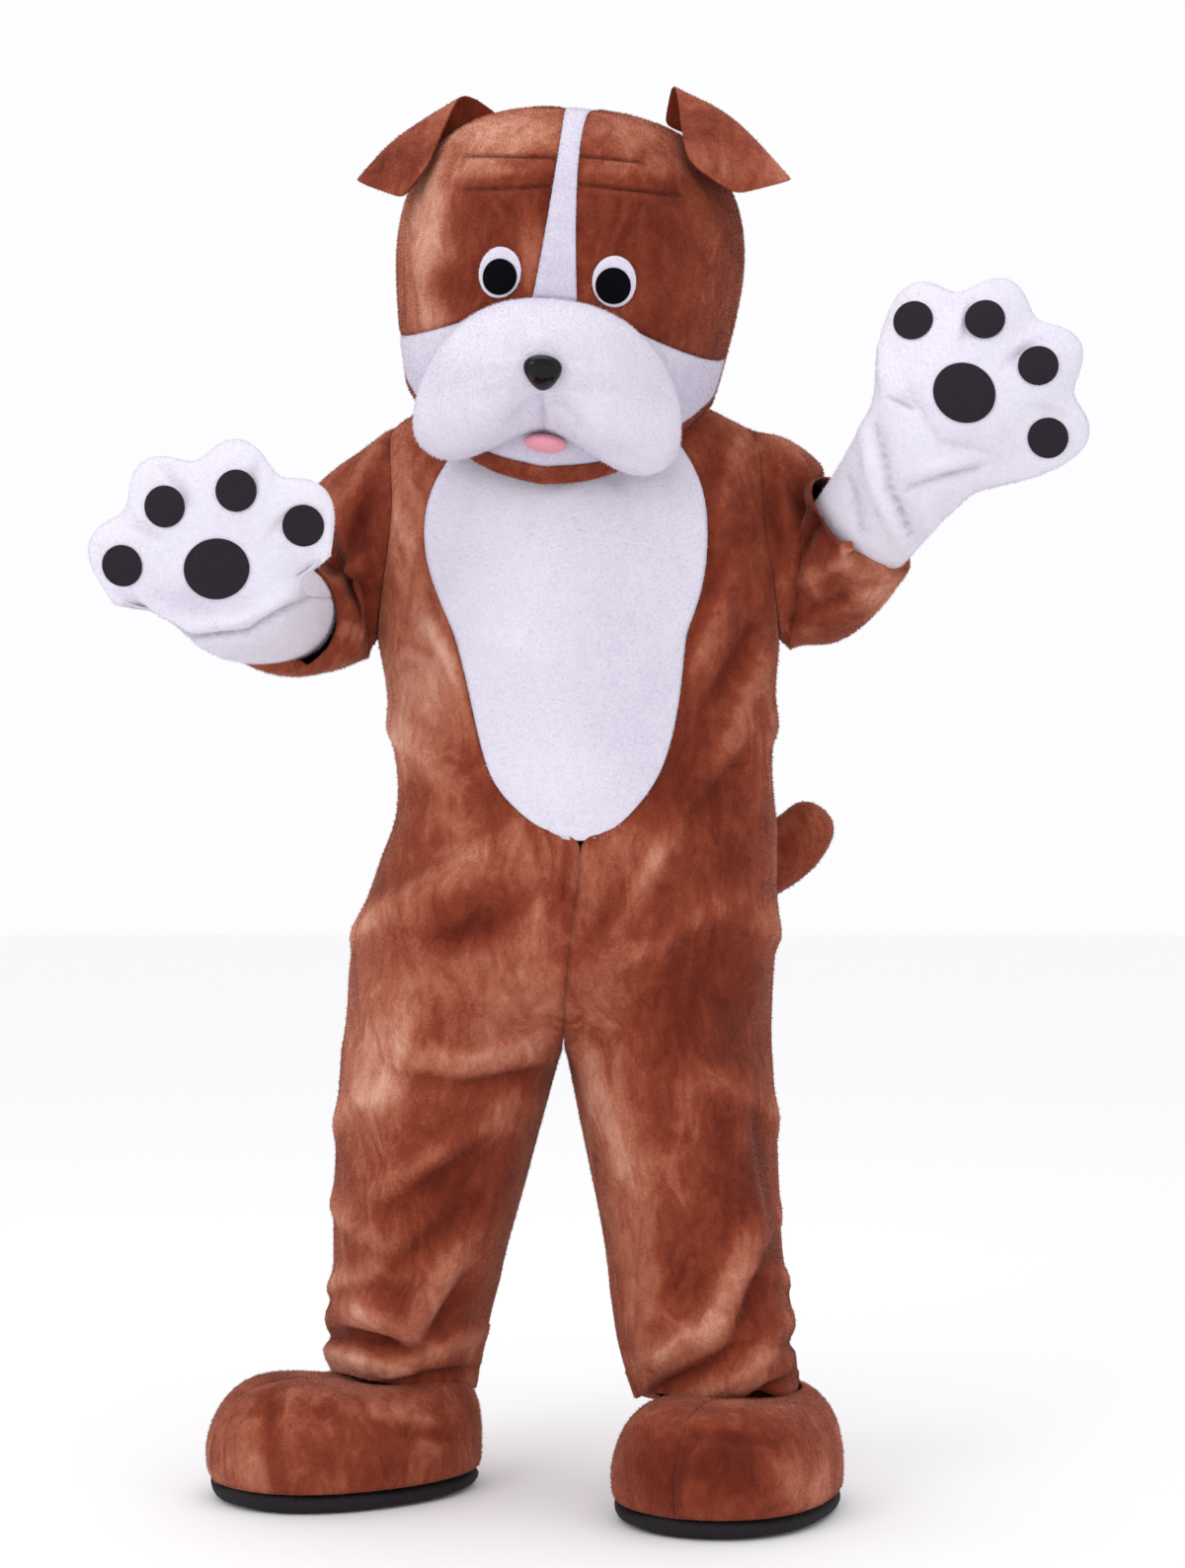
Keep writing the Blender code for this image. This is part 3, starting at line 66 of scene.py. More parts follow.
scene.collection.objects.link(camera)
scene.camera = camera

world = bpy.data.worlds.new("studio")
world.use_nodes = True
world.node_tree.nodes["Background"].inputs["Color"].default_value = (0.985, 0.985, 1, 1)
world.node_tree.nodes["Background"].inputs["Strength"].default_value = 1.0
scene.world = world


def soft_light(name, place, aim, size, power):
    lamp = bpy.data.lights.new(name, "AREA")
    lamp.shape = "RECTANGLE"
    lamp.size, lamp.size_y = size
    lamp.energy = power
    made = bpy.data.objects.new(name, lamp)
    made.location = place
    way = np.array(aim, float) - np.array(place, float)
    made.rotation_euler = (
        math.atan2(math.hypot(way[0], way[1]), -way[2]), 0, math.atan2(way[1], way[0]) - math.pi / 2
    )
    scene.collection.objects.link(made)


# The left light is four times the right one, as the photo's shading is; power is in watts.
soft_light("light_left", (-2.6, -3.2, 0.9), (0, 0, -0.3), (1.6, 2.2), 30)
soft_light("light_right", (2.9, -2.6, 0.5), (0, 0, -0.4), (1.4, 2.0), 7)
soft_light("light_top", (-0.3, -0.6, 2.3), (0, 0, -0.4), (2.2, 2.2), 18)


def hex_colour(code):
    """A screen colour such as #a04b2d as the linear colour that a shader takes."""
    parts = [int(code[i : i + 2], 16) / 255 for i in (1, 3, 5)]
    return (*[c / 12.92 if c <= 0.04045 else ((c + 0.055) / 1.055) ** 2.4 for c in parts], 1)


def shader_tools(name):
    """A new material, its shader, and a call that adds a node with values for its sockets."""
    made = bpy.data.materials.new(name)
    made.use_nodes = True
    tree = made.node_tree
    shader = tree.nodes["Principled BSDF"]

    def node(kind, **values):
        new = tree.nodes.new(kind)
        for key, value in values.items():
            if key in new.inputs:
                if isinstance(value, bpy.types.NodeSocket):
                    tree.links.new(value, new.inputs[key])
                else:
                    new.inputs[key].default_value = value
            else:
                setattr(new, key, value)
        return new

    return made, tree, shader, node


floor_material, _, floor_shader, _ = shader_tools("pale_floor")
floor_shader.inputs["Base Color"].default_value = hex_colour("#fafafb")
floor_shader.inputs["Roughness"].default_value = 0.8
FLOOR_Z = -1.3805
bpy.ops.mesh.primitive_plane_add(size=30, location=(0, 0, FLOOR_Z))
floor = bpy.context.object
floor.name = "floor"
floor.data.materials.append(floor_material)

# Cloths
# The brown is a crushed short pile: light where it leans one way, dark red-brown where it leans
# the other. An attribute on each mesh says which, 0 dark to 1 light; it also holds painted light
# and shade, lighter on ridges and on the lit side, darker in troughs and on the shaded side.
# A second attribute darkens sewn lines and creases: painted shade.
# Pattern sizes are counts to the metre: patches 143 mm, crush marks 42 mm, streaks 12 mm, lumps
# 6.7 mm and tufts 1.9 mm. Single fibres, 0.3 mm, are too fine to show, so tufts stand for them.
PATCHES, CRUSH_MARKS, STREAKS, LUMPS, TUFTS = 7.0, 24.0, 85.0, 150.0, 520.0
STREAK_STRETCH = 0.55


def maths(tree, operation, a, b):
    new = tree.nodes.new("ShaderNodeMath")
    new.operation = operation
    for socket, value in zip(new.inputs, (a, b)):
        if isinstance(value, bpy.types.NodeSocket):
            tree.links.new(value, socket)
        else:
            socket.default_value = value
    return new.outputs[0]


def ramp(tree, value, stops):
    new = tree.nodes.new("ShaderNodeValToRGB")
    tree.links.new(value, new.inputs["Fac"])
    while len(new.color_ramp.elements) < len(stops):
        new.color_ramp.elements.new(0.5)
    for element, (place, colour) in zip(new.color_ramp.elements, stops):
        element.position = place
        element.color = hex_colour(colour)
    return new.outputs["Color"]


def plush(name, stops, patch, fibre, sheen, tint, relief):
    """A pile cloth: its colour by nap with painted light and shade, in patches, streaks and single fibres;
    seams and creases darkened as painted shade.
    """
    made, tree, shader, node = shader_tools(name)
    place = node("ShaderNodeTexCoord").outputs["Object"]
    nap = node("ShaderNodeAttribute", attribute_name="nap").outputs["Fac"]
    seam = node("ShaderNodeAttribute", attribute_name="seam").outputs["Fac"]
    stretched = node("ShaderNodeMapping", Vector=place, Scale=(1.0, 1.0, STREAK_STRETCH)).outputs["Vector"]
    broad = node(
        "ShaderNodeTexNoise", Vector=stretched, Scale=PATCHES, Detail=3.0, Roughness=0.55, Distortion=1.2
    ).outputs["Fac"]
    crush = node(
        "ShaderNodeTexNoise", Vector=stretched, Scale=CRUSH_MARKS, Detail=5.0, Roughness=0.62,
        Distortion=1.5,
    ).outputs["Fac"]
    streak = node(
        "ShaderNodeTexNoise", Vector=stretched, Scale=STREAKS, Detail=4.0, Roughness=0.6, Distortion=0.6
    ).outputs["Fac"]
    hair = node("ShaderNodeTexNoise", Vector=place, Scale=TUFTS, Detail=2.0, Roughness=0.6).outputs["Fac"]
    total = nap
    for noise, weight in ((broad, patch), (crush, patch * 0.9), (streak, patch * 0.35), (hair, fibre)):
        swing = maths(tree, "SUBTRACT", noise, 0.5)
        total = maths(tree, "ADD", total, maths(tree, "MULTIPLY", swing, weight))
    colour = ramp(tree, total, stops)
    # Seams and creases are darkened: painted shade.
    dark = node("ShaderNodeMix", data_type="RGBA", blend_type="MULTIPLY", Factor=1.0)
    tree.links.new(colour, dark.inputs["A"])
    shade = ramp(tree, seam, ((0.0, "#ffffff"), (1.0, "#84787c")))
    tree.links.new(shade, dark.inputs["B"])
    tree.links.new(dark.outputs["Result"], shader.inputs["Base Color"])
    lumps = node("ShaderNodeTexNoise", Vector=place, Scale=LUMPS, Detail=3.0, Roughness=0.6).outputs["Fac"]
    height = maths(tree, "ADD", maths(tree, "MULTIPLY", hair, 0.55), lumps)
    bump = node("ShaderNodeBump", Height=height, Strength=relief, Distance=0.0016)
    tree.links.new(bump.outputs["Normal"], shader.inputs["Normal"])
    shader.inputs["Roughness"].default_value = 0.92
    shader.inputs["Specular IOR Level"].default_value = 0.15
    shader.inputs["Sheen Weight"].default_value = sheen
    shader.inputs["Sheen Roughness"].default_value = 0.42
    shader.inputs["Sheen Tint"].default_value = hex_colour(tint)
    return made


# The brown's fibres are glossy: a warm sheen pales the edges of folds. The white one's are dull,
# with little sheen; its low nap values are a darker grey-lilac, painted shade where it turns from the light.
BROWN = plush(
    "brown_crushed_plush",
    ((0.0, "#4c150b"), (0.28, "#692717"), (0.5, "#873d28"), (0.72, "#ab664e"), (1.0, "#d39f88")),
    0.64, 0.28, 0.30, "#e3b8a4", 0.85,
)
WHITE = plush(
    "white_plush",
    ((0.0, "#aea6ba"), (0.35, "#c7c0d2"), (0.65, "#d8d2e0"), (1.0, "#e3dfea")),
    0.34, 0.26, 0.20, "#ffffff", 0.80,
)


def plain_cloth(name, dark, light, scale, relief, roughness):
    """A matt cloth with a fine mottle."""
    made, tree, shader, node = shader_tools(name)
    place = node("ShaderNodeTexCoord").outputs["Object"]
    fine = node("ShaderNodeTexNoise", Vector=place, Scale=scale, Detail=4.0, Roughness=0.65).outputs["Fac"]
    tree.links.new(ramp(tree, fine, ((0.3, dark), (0.7, light))), shader.inputs["Base Color"])
    bump = node("ShaderNodeBump", Height=fine, Strength=relief, Distance=0.0008)
    tree.links.new(bump.outputs["Normal"], shader.inputs["Normal"])
    shader.inputs["Roughness"].default_value = roughness
    shader.inputs["Specular IOR Level"].default_value = 0.25
    return made


# Felt and sole cloth are almost without shine. Their mottles, 1.4 to 2.4 mm, are coarser than the
# real fibres so as to show.
FELT = plain_cloth("black_felt", "#17121a", "#2e2830", 700.0, 0.5, 0.95)
PINK = plain_cloth("pink_felt", "#d98799", "#ecaab6", 500.0, 0.4, 0.85)
SOLE = plain_cloth("black_sole_cloth", "#131013", "#2a2428", 420.0, 0.8, 0.85)

# Jumpsuit
# Two fronts, two backs and the white belly. Each keeps its solid's outer face as a thin sheet,
# which is smoothed, then gets its folds, its sewn edges and its turned-in rim; creases and sewn
# edges get painted shade, ridges painted light. Folds are placed in the photo's pixels, 1.3 mm at
# the wearer's plane, from its middle.
MIDDLE_X, MIDDLE_Y = 600, 794


def in_photo(points):
    """Where points show in the photo, in its pixels."""
    depth = PIXEL * (CAMERA_AWAY + points[:, 1]) / CAMERA_AWAY
    across = MIDDLE_X + (points[:, 0] - CAMERA_X) / depth
    return np.stack([across, MIDDLE_Y - (points[:, 2] - CAMERA_Z) / depth], axis=-1)


def in_profile(points):
    """A side view in the same scale: Y to the right."""
    across = MIDDLE_X + points[:, 1] / PIXEL
    return np.stack([across, MIDDLE_Y - (points[:, 2] - CAMERA_Z) / PIXEL], axis=-1)


def arrays(mesh):
    points = np.empty(len(mesh.vertices) * 3)
    mesh.vertices.foreach_get("co", points)
    normals = np.empty(len(mesh.vertices) * 3)
    mesh.vertex_normals.foreach_get("vector", normals)
    return points.reshape(-1, 3), normals.reshape(-1, 3)


def place_points(mesh, points):
    mesh.vertices.foreach_set("co", points.astype(np.float32).ravel())
    mesh.update()


def set_value(mesh, name, values):
    attribute = mesh.attributes.get(name) or mesh.attributes.new(name, "FLOAT", "POINT")
    attribute.data.foreach_set("value", np.clip(values, 0, 1).astype(np.float32))


def smoothed(name, mesh, level):
    """An object of the mesh with its subdivision applied."""
    made = bpy.data.objects.new(name, mesh)
    scene.collection.objects.link(made)
    modifier = made.modifiers.new("smooth", "SUBSURF")
    modifier.levels = modifier.render_levels = level
    modifier.boundary_smooth = "PRESERVE_CORNERS"
    graph = bpy.context.evaluated_depsgraph_get()
    graph.update()
    made.data = bpy.data.meshes.new_from_object(made.evaluated_get(graph))
    made.modifiers.clear()
    made.data.name = name
    made.data.materials.clear()
    for face in made.data.polygons:
        face.use_smooth = True
    return made


SEAMS_EVENED_BELOW = -0.84
STEEP = 0.8


def edge_is_steep(edge):
    way = edge.verts[0].co - edge.verts[1].co
    return abs(way.z) > STEEP * way.length


def calm(work):
    """Evens out each inner point, and the legs' side seams, with the points above and below."""
    places = {}
    for vertex in work.verts:
        edges = vertex.link_edges
        if vertex.is_boundary:
            edges = [edge for edge in edges if edge.is_boundary and edge_is_steep(edge)]
            if len(edges) < 2 or vertex.co.z > SEAMS_EVENED_BELOW:
                continue
        ends = [edge.other_vert(vertex).co for edge in edges]
        middle = (max(ends, key=lambda co: co.z) + min(ends, key=lambda co: co.z)) / 2
        places[vertex] = (vertex.co + middle) / 2
    for vertex, place in places.items():
        vertex.co = place


SAME_POINT = 2e-5
SHARP_EDGE = math.radians(62)
QUAD_LIMIT = math.radians(80)


def cad_copy(node, sheet_only, rounds=0):
    """A CAD node's mesh with its quads restored; only its outer face where it is a cloth wall."""
    work = bmesh.new()
    work.from_mesh(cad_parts[node].data)
    bmesh.ops.remove_doubles(work, verts=work.verts, dist=SAME_POINT)
    work.normal_update()
    if sheet_only:
        left, best, best_area = set(work.faces), set(), 0.0
        while left:
            found, stack = set(), [left.pop()]
            while stack:
                face = stack.pop()
                found.add(face)
                for edge in face.edges:
                    for other in edge.link_faces:
                        if other in left and face.normal.angle(other.normal, 0) < SHARP_EDGE:
                            left.discard(other)
                            stack.append(other)
            area = sum(face.calc_area() for face in found)
            if area > best_area:
                best, best_area = found, area
        bmesh.ops.delete(work, geom=[f for f in work.faces if f not in best], context="FACES")
    bmesh.ops.join_triangles(
        work, faces=work.faces, angle_face_threshold=QUAD_LIMIT, angle_shape_threshold=QUAD_LIMIT
    )
    for _ in range(rounds):
        calm(work)
    mesh = bpy.data.meshes.new(node)
    work.to_mesh(mesh)
    work.free()
    return mesh


NARROW_FOLD = 6
STEEP_SIDE, EASY_SIDE = 0.7, 1.35
# Half width in mm of the painted shade along a fold's line.
CREASE_SHADE_WIDTH = 3.2
FACING_GAIN, FACING_START = 1.8, 0.45


def fold(points, normals, view, rows):
    """How far ridges and troughs move points along their normals, and how much painted shade darkens seams
    and creases.

    Each row: start, end, half width and height in mm (below 0: a trough), and the painted shade along
    its line. A fold is steeper on one side, fades out at both ends, and shows only where the cloth faces its
    view.
    """
    seen = in_profile(points) if view in ("left", "right") else in_photo(points)
    axis, sign = {"front": (1, -1), "back": (1, 1), "left": (0, -1), "right": (0, 1)}[view]
    faces_it = np.clip(sign * normals[:, axis] * FACING_GAIN + FACING_START, 0, 1)
    rise, seam = np.zeros(len(points)), np.zeros(len(points))
    for (x0, y0), (x1, y1), width, height, dark in rows:
        start, line = np.array([x0, y0], float), np.array([x1 - x0, y1 - y0], float)
        length = max(np.linalg.norm(line), 1e-6)
        along = np.clip((seen - start) @ line / length**2, 0, 1)
        away = seen - start - along[:, None] * line
        distance = np.linalg.norm(away, axis=1) * PIXEL * 1000
        side = np.sign(away @ np.array([-line[1], line[0]]))
        wide = width * np.where(side > 0, STEEP_SIDE, EASY_SIDE) if width > NARROW_FOLD else width
        taper = np.sin(np.pi * (0.1 + 0.8 * along)) ** 0.8
        ridge = np.exp(-((distance / wide) ** 2)) * taper * faces_it
        rise += height / 1000 * ridge
        line_shade = dark * np.exp(-((distance / CREASE_SHADE_WIDTH) ** 2)) * np.minimum(1, taper * 3)
        seam = np.maximum(seam, line_shade * faces_it)
    return rise, seam


def edge_lines(mesh, keep_open):
    """The border points of a sheet, without those that keep_open says are hems."""
    work = bmesh.new()
    work.from_mesh(mesh)
    found = [tuple(v.co) for v in work.verts if v.is_boundary and not keep_open(v.co)]
    work.free()
    return found


def near_edge(points, border):
    tree = KDTree(len(border))
    for i, place in enumerate(border):
        tree.insert(place, i)
    tree.balance()
    return np.array([tree.find(p)[2] for p in points])


def paint(points, base, blots):
    """The nap over a piece, with painted light and shade: a base, then soft blots, each with its centre, half
    sizes and value.
    """
    seen = in_photo(points)
    nap = np.full(len(points), float(base))
    for (x, y), (wide, tall), value in blots:
        reach = ((seen[:, 0] - x) / wide) ** 2 + ((seen[:, 1] - y) / tall) ** 2
        nap += (value - nap) * np.exp(-(reach**1.4))
    return nap


CLOTH = 0.0025


def rim(mesh, hem, tuck):
    """Turns a sheet's border in by the cloth's thickness, and its open hems by their tuck.

    The new faces are put in the order of their points, so that each run gives the same mesh.
    """
    work = bmesh.new()
    work.from_mesh(mesh)
    work.normal_update()
    border = [e for e in work.edges if e.is_boundary]
    inward = {v: -v.normal.copy() for e in border for v in e.verts}
    made = bmesh.ops.extrude_edge_only(work, edges=border)
    new = [v for v in made["geom"] if isinstance(v, bmesh.types.BMVert)]
    tree = KDTree(len(inward))
    old = list(inward)
    for i, v in enumerate(old):
        tree.insert(v.co, i)
    tree.balance()
    moves = [(v, inward[old[tree.find(v.co)[1]]] * (tuck if hem(v.co) else CLOTH)) for v in new]
    for v, move in moves:
        v.co += move
    turned_in = [f for f in made["geom"] if isinstance(f, bmesh.types.BMFace)]
    bmesh.ops.recalc_face_normals(work, faces=turned_in)
    work.verts.index_update()
    work.faces.index_update()
    turned_in.sort(key=lambda face: sorted(v.index for v in face.verts))
    places = {face: len(work.faces) + i for i, face in enumerate(turned_in)}
    work.faces.sort(key=lambda face: places.get(face, face.index))
    work.to_mesh(mesh)
    work.free()


def finish(piece, node, finish_material):
    piece.data.materials.append(finish_material)
    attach(piece, "root")
    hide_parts(*([node] if isinstance(node, str) else node))


HEM_ZONE = 0.03
FLAT_BY_SEAM = 0.012
SEAM_ROLL = 0.005
# Painted shade along sewn borders: its half width, and its strength on brown and on white.
SEAM_SHADE_WIDTH = 0.0024
SEAM_SHADE, WHITE_SEAM_SHADE = 0.22, 0.08
# Painted light on ridges and painted shade in troughs: gain per metre of rise, and its limit.
FOLD_SHADING_GAIN, FOLD_SHADING_LIMIT = 26, 0.24


def cloth_piece(
    node, name, level, finish_material, folds=(), nap=(0.5, ()), hem=lambda co: False,
    sink=0.0006, sheet_only=True, tuck=CLOTH, drop=0.0, rounds=0,
):
    """A CAD cloth node as a finished sheet with folds, sewn edges, nap and a turned rim; painted shade
    darkens its seams and creases, and painted light and shade follow its folds.
    """
    piece = smoothed(name, cad_copy(node, sheet_only, rounds), level)
    points, normals = arrays(piece.data)
    if drop:
        hems = edge_lines(piece.data, lambda co: not low_edge(co))
        points[:, 2] -= drop * np.exp(-((near_edge(points, hems) / HEM_ZONE) ** 2))
    total, seam_and_crease_shading = np.zeros(len(points)), np.zeros(len(points))
    for view, rows in folds:
        rise, seam = fold(points, normals, view, rows)
        total += rise
        seam_and_crease_shading = np.maximum(seam_and_crease_shading, seam)
    if sheet_only:
        border = edge_lines(piece.data, hem)
        if border:
            gap = near_edge(points, border)
            total *= np.clip(gap / FLAT_BY_SEAM, 0, 1)
            total -= sink * np.exp(-((gap / SEAM_ROLL) ** 2))
            # Sewn borders darkened: painted shade, weaker on the white.
            dark = SEAM_SHADE if finish_material == BROWN else WHITE_SEAM_SHADE
            seam_and_crease_shading = np.maximum(seam_and_crease_shading, dark * np.exp(-((gap / SEAM_SHADE_WIDTH) ** 2)))
    place_points(piece.data, points + total[:, None] * normals)
    set_value(piece.data, "seam", seam_and_crease_shading)
    # Nap blots with painted light and shade, then ridges lighter and troughs darker: painted light and shade
    # over the folds.
    lean = paint(points, *nap) + np.clip(total * FOLD_SHADING_GAIN, -FOLD_SHADING_LIMIT, FOLD_SHADING_LIMIT)
    set_value(piece.data, "nap", lean)
    if sheet_only:
        rim(piece.data, hem, tuck)
    finish(piece, node, finish_material)
    return piece


HEM_BELOW = -1.10
NECK_ABOVE = 0.06


def low_edge(co):
    return co.z < HEM_BELOW


def neck_or_hem(co):
    return co.z < HEM_BELOW or co.z > NECK_ABOVE


# Fold rows; a row's last value darkens its line with painted shade, mostly in troughs.
SUIT_FRONT = [
    ((574, 850), (568, 930), 9, -6, 0.0),
    ((520, 760), (455, 690), 16, 7, 0.0),
    ((470, 800), (420, 760), 15, 8, 0.0),
    ((490, 862), (385, 925), 22, 9, 0.0),
    ((545, 900), (430, 960), 17, -6, 0.0),
    ((562, 1046), (480, 1076), 20, 9, 0.1),
    ((490, 1076), (392, 1058), 19, 8, 0.0),
    ((552, 1082), (470, 1098), 13, -9, 0.3),
    ((478, 1098), (400, 1086), 12, -7, 0.2),
    ((520, 1120), (372, 1212), 22, 9, 0.0),
    ((500, 1150), (385, 1226), 13, -8, 0.2),
    ((478, 1236), (412, 1350), 20, 12, 0.0),
    ((420, 1352), (345, 1318), 18, 11, 0.0),
    ((470, 1290), (425, 1372), 12, -11, 0.35),
    ((425, 1372), (345, 1346), 11, -11, 0.35),
    ((450, 1235), (380, 1300), 13, -7, 0.15),
    ((485, 1345), (400, 1384), 14, 12, 0.0),
    ((410, 1386), (330, 1366), 13, 12, 0.0),
    ((478, 1384), (380, 1402), 9, -9, 0.3),
    ((640, 905), (690, 830), 18, 8, 0.0),
    ((600, 960), (660, 850), 14, -8, 0.0),
    ((620, 985), (760, 900), 18, 8, 0.0),
    ((590, 1060), (640, 1200), 24, 7, 0.0),
    ((700, 1060), (690, 1210), 26, 6, 0.0),
    ((762, 1100), (784, 1240), 13, -8, 0.25),
    ((785, 1250), (738, 1370), 14, -11, 0.35),
    ((745, 1365), (655, 1412), 12, -11, 0.35),
    ((760, 1240), (715, 1350), 19, 11, 0.0),
    ((722, 1340), (650, 1380), 17, 11, 0.0),
    ((800, 1330), (750, 1398), 15, 12, 0.0),
    ((755, 1394), (668, 1424), 14, 12, 0.0),
    ((815, 1385), (740, 1428), 9, -10, 0.35),
    ((665, 1240), (690, 1320), 22, -6, 0.1),
    ((430, 620), (470, 700), 14, 8, 0.0),
    ((415, 560), (452, 640), 12, -8, 0.0),
    ((400, 520), (432, 600), 12, 8, 0.0),
    ((745, 560), (700, 690), 16, 10, 0.0),
    ((770, 620), (712, 720), 13, -8, 0.0),
    ((776, 660), (720, 780), 15, 8, 0.0),
    ((770, 740), (700, 830), 13, -7, 0.0),
    ((740, 460), (722, 560), 13, 8, 0.0),
]
SUIT_BACK = [
    ((585, 560), (500, 500), 22, 10, 0.0),
    ((590, 620), (700, 520), 22, 10, 0.0),
    ((585, 700), (470, 640), 20, 8, 0.0),
    ((590, 760), (720, 700), 20, -8, 0.0),
    ((580, 830), (440, 800), 22, 10, 0.0),
    ((600, 870), (740, 930), 20, 10, 0.0),
    ((570, 930), (410, 985), 24, 9, 0.0),
    ((590, 980), (750, 1030), 24, 9, 0.0),
    ((540, 1080), (400, 1180), 22, 9, 0.0),
    ((500, 1150), (370, 1250), 15, -8, 0.1),
    ((480, 1240), (360, 1330), 16, 10, 0.0),
    ((500, 1330), (350, 1372), 12, -9, 0.15),
    ((620, 1100), (760, 1180), 22, 9, 0.0),
    ((640, 1170), (770, 1260), 15, -8, 0.1),
    ((650, 1270), (780, 1340), 14, 10, 0.0),
    ((660, 1350), (800, 1385), 11, -9, 0.15),
]
SUIT_SIDE = [
    ((470, 1080), (660, 1170), 22, 9, 0.0),
    ((520, 1250), (700, 1190), 18, 8, 0.0),
    ((500, 1270), (690, 1330), 14, 10, 0.0),
    ((500, 1345), (700, 1370), 11, -9, 0.1),
    ((480, 920), (720, 980), 24, 9, 0.0),
    ((520, 760), (700, 700), 20, 8, 0.0),
]
# Nap blots on the fronts: the crushed pile's lean, with painted light towards the left and painted shade
# towards the right.
FRONT_NAP_AND_LIGHT = [
    ((420, 700), (50, 130), 0.78), ((470, 860), (80, 60), 0.62), ((480, 990), (90, 60), 0.66),
    ((390, 1050), (40, 120), 0.72), ((440, 1180), (90, 60), 0.34), ((470, 930), (60, 30), 0.38),
    ((360, 1250), (40, 100), 0.62), ((440, 1290), (70, 50), 0.40), ((350, 1400), (30, 40), 0.75),
    ((430, 1370), (60, 26), 0.50), ((645, 920), (50, 80), 0.55), ((720, 900), (60, 120), 0.30),
    ((640, 1010), (60, 40), 0.66), ((700, 1080), (70, 80), 0.46), ((610, 1130), (30, 90), 0.70),
    ((640, 1260), (34, 110), 0.62), ((730, 1200), (50, 110), 0.28), ((690, 1380), (60, 40), 0.46),
    ((740, 560), (40, 130), 0.34), ((700, 740), (60, 90), 0.36), ((640, 870), (60, 34), 0.62),
    ((770, 460), (60, 60), 0.50), ((400, 500), (36, 90), 0.74), ((790, 1330), (30, 60), 0.30),
    ((710, 1020), (70, 110), 0.24), ((430, 1210), (60, 50), 0.30),
]
# Fibre lengths for the pile that is added at the end, with a count of fibres to each piece.
LONG_PILE, MIDDLE_PILE, SHORT_PILE, SPARSE_PILE = 0.0034, 0.0032, 0.0030, 0.0028
pile_pieces = []
for name in ("left", "right"):
    front = cloth_piece(
        f"front_{name}", f"suit_front_{name}", 3, BROWN,
        [("front", SUIT_FRONT), (name, SUIT_SIDE)], (0.5, FRONT_NAP_AND_LIGHT), neck_or_hem, tuck=0.020,
        drop=0.012, rounds=2,
    )
    back = cloth_piece(
        f"back_{name}", f"suit_back_{name}", 3, BROWN,
        [("back", SUIT_BACK), (name, SUIT_SIDE)],
        (0.5, [((500, 700), (60, 160), 0.7), ((700, 900), (70, 120), 0.3), ((440, 1150), (60, 120), 0.35),
               ((700, 1200), (60, 120), 0.65), ((600, 520), (120, 60), 0.6)]),
        neck_or_hem, tuck=0.016, drop=0.003, rounds=2,
    )
    pile_pieces += [(front, 34000, LONG_PILE), (back, 24000, LONG_PILE)]

# The belly's lower tip is drawn down a little, into the point between the fronts.
TIP_REACH = 0.007
TIP_FADE = 0.014
belly = cloth_piece(
    "belly", "suit_belly", 3, WHITE,
    [("front", [
        ((600, 470), (640, 500), 10, -3, 0.0), ((625, 470), (560, 500), 12, 4, 0.0),
        ((470, 640), (560, 660), 26, 4, 0.0), ((690, 640), (600, 690), 26, 3, 0.0),
    ])],
    (0.74, [((540, 560), (60, 80), 0.9), ((640, 700), (60, 90), 0.58), ((560, 790), (60, 40), 0.85)]),
    lambda co: co.z > NECK_ABOVE,
)
points, _ = arrays(belly.data)
over_tip = points[:, 2] - points[:, 2].min()
points[:, 2] -= TIP_REACH * np.exp(-((over_tip / TIP_FADE) ** 2))
place_points(belly.data, points)
pile_pieces.append((belly, 26000, MIDDLE_PILE))

# Sleeves
# Wide tubes whose hems lie over the gauntlets, pulled into diagonal folds at the elbow.
SLEEVE_HEM_BEYOND = 0.34
# Some crease lines are darkened, and nap blots lighten and darken the sleeves: painted shade and light.
for name, rows, lean in (
    ("left",
     [((395, 440), (340, 520), 14, 8, 0.0), ((385, 470), (350, 560), 11, -8, 0.0),
      ((375, 560), (330, 600), 12, 9, 0.0), ((372, 600), (320, 560), 10, -7, 0.0),
      ((360, 640), (300, 610), 11, 7, 0.0), ((330, 665), (275, 640), 9, -5, 0.0),
      ((345, 500), (300, 520), 10, 6, 0.0)],
     [((330, 600), (30, 60), 0.35), ((370, 560), (26, 60), 0.32), ((290, 655), (30, 16), 0.7)]),
    ("right",
     [((770, 430), (820, 480), 14, 8, 0.0), ((790, 470), (800, 560), 12, 8, 0.0),
      ((800, 500), (850, 560), 11, -8, 0.0), ((790, 600), (870, 560), 12, 9, 0.0),
      ((800, 630), (890, 590), 10, -7, 0.0), ((830, 520), (900, 575), 12, 7, 0.0),
      ((810, 560), (835, 620), 10, 6, 0.0), ((836, 483), (809, 569), 8, -9, 0.35),
      ((809, 569), (800, 636), 8, -8, 0.3), ((846, 500), (860, 580), 9, 9, 0.0)],
     [((850, 560), (40, 30), 0.5), ((800, 520), (30, 70), 0.24), ((890, 595), (44, 26), 0.82)]),
):
    sleeve = cloth_piece(
        f"sleeve_{name}", f"suit_sleeve_{name}", 3, BROWN,
        [("front", rows), ("back", rows)], (0.5, lean), lambda co: abs(co.x) > SLEEVE_HEM_BEYOND,
        tuck=0.018,
    )
    pile_pieces.append((sleeve, 16000, LONG_PILE))

# Tail
# A stuffed cone that comes out of the centre back seam and turns up at its tip.


def stuffed(node, name, level, material, folds=(), nap=(0.5, ())):
    piece = cloth_piece(node, name, level, material, folds, nap, sheet_only=False)
    return piece


tail = stuffed("tail", "tail_stuffed", 2, BROWN, (), (0.4, [((830, 830), (20, 30), 0.6)]))
pile_pieces.append((tail, 8000, 0.0036))
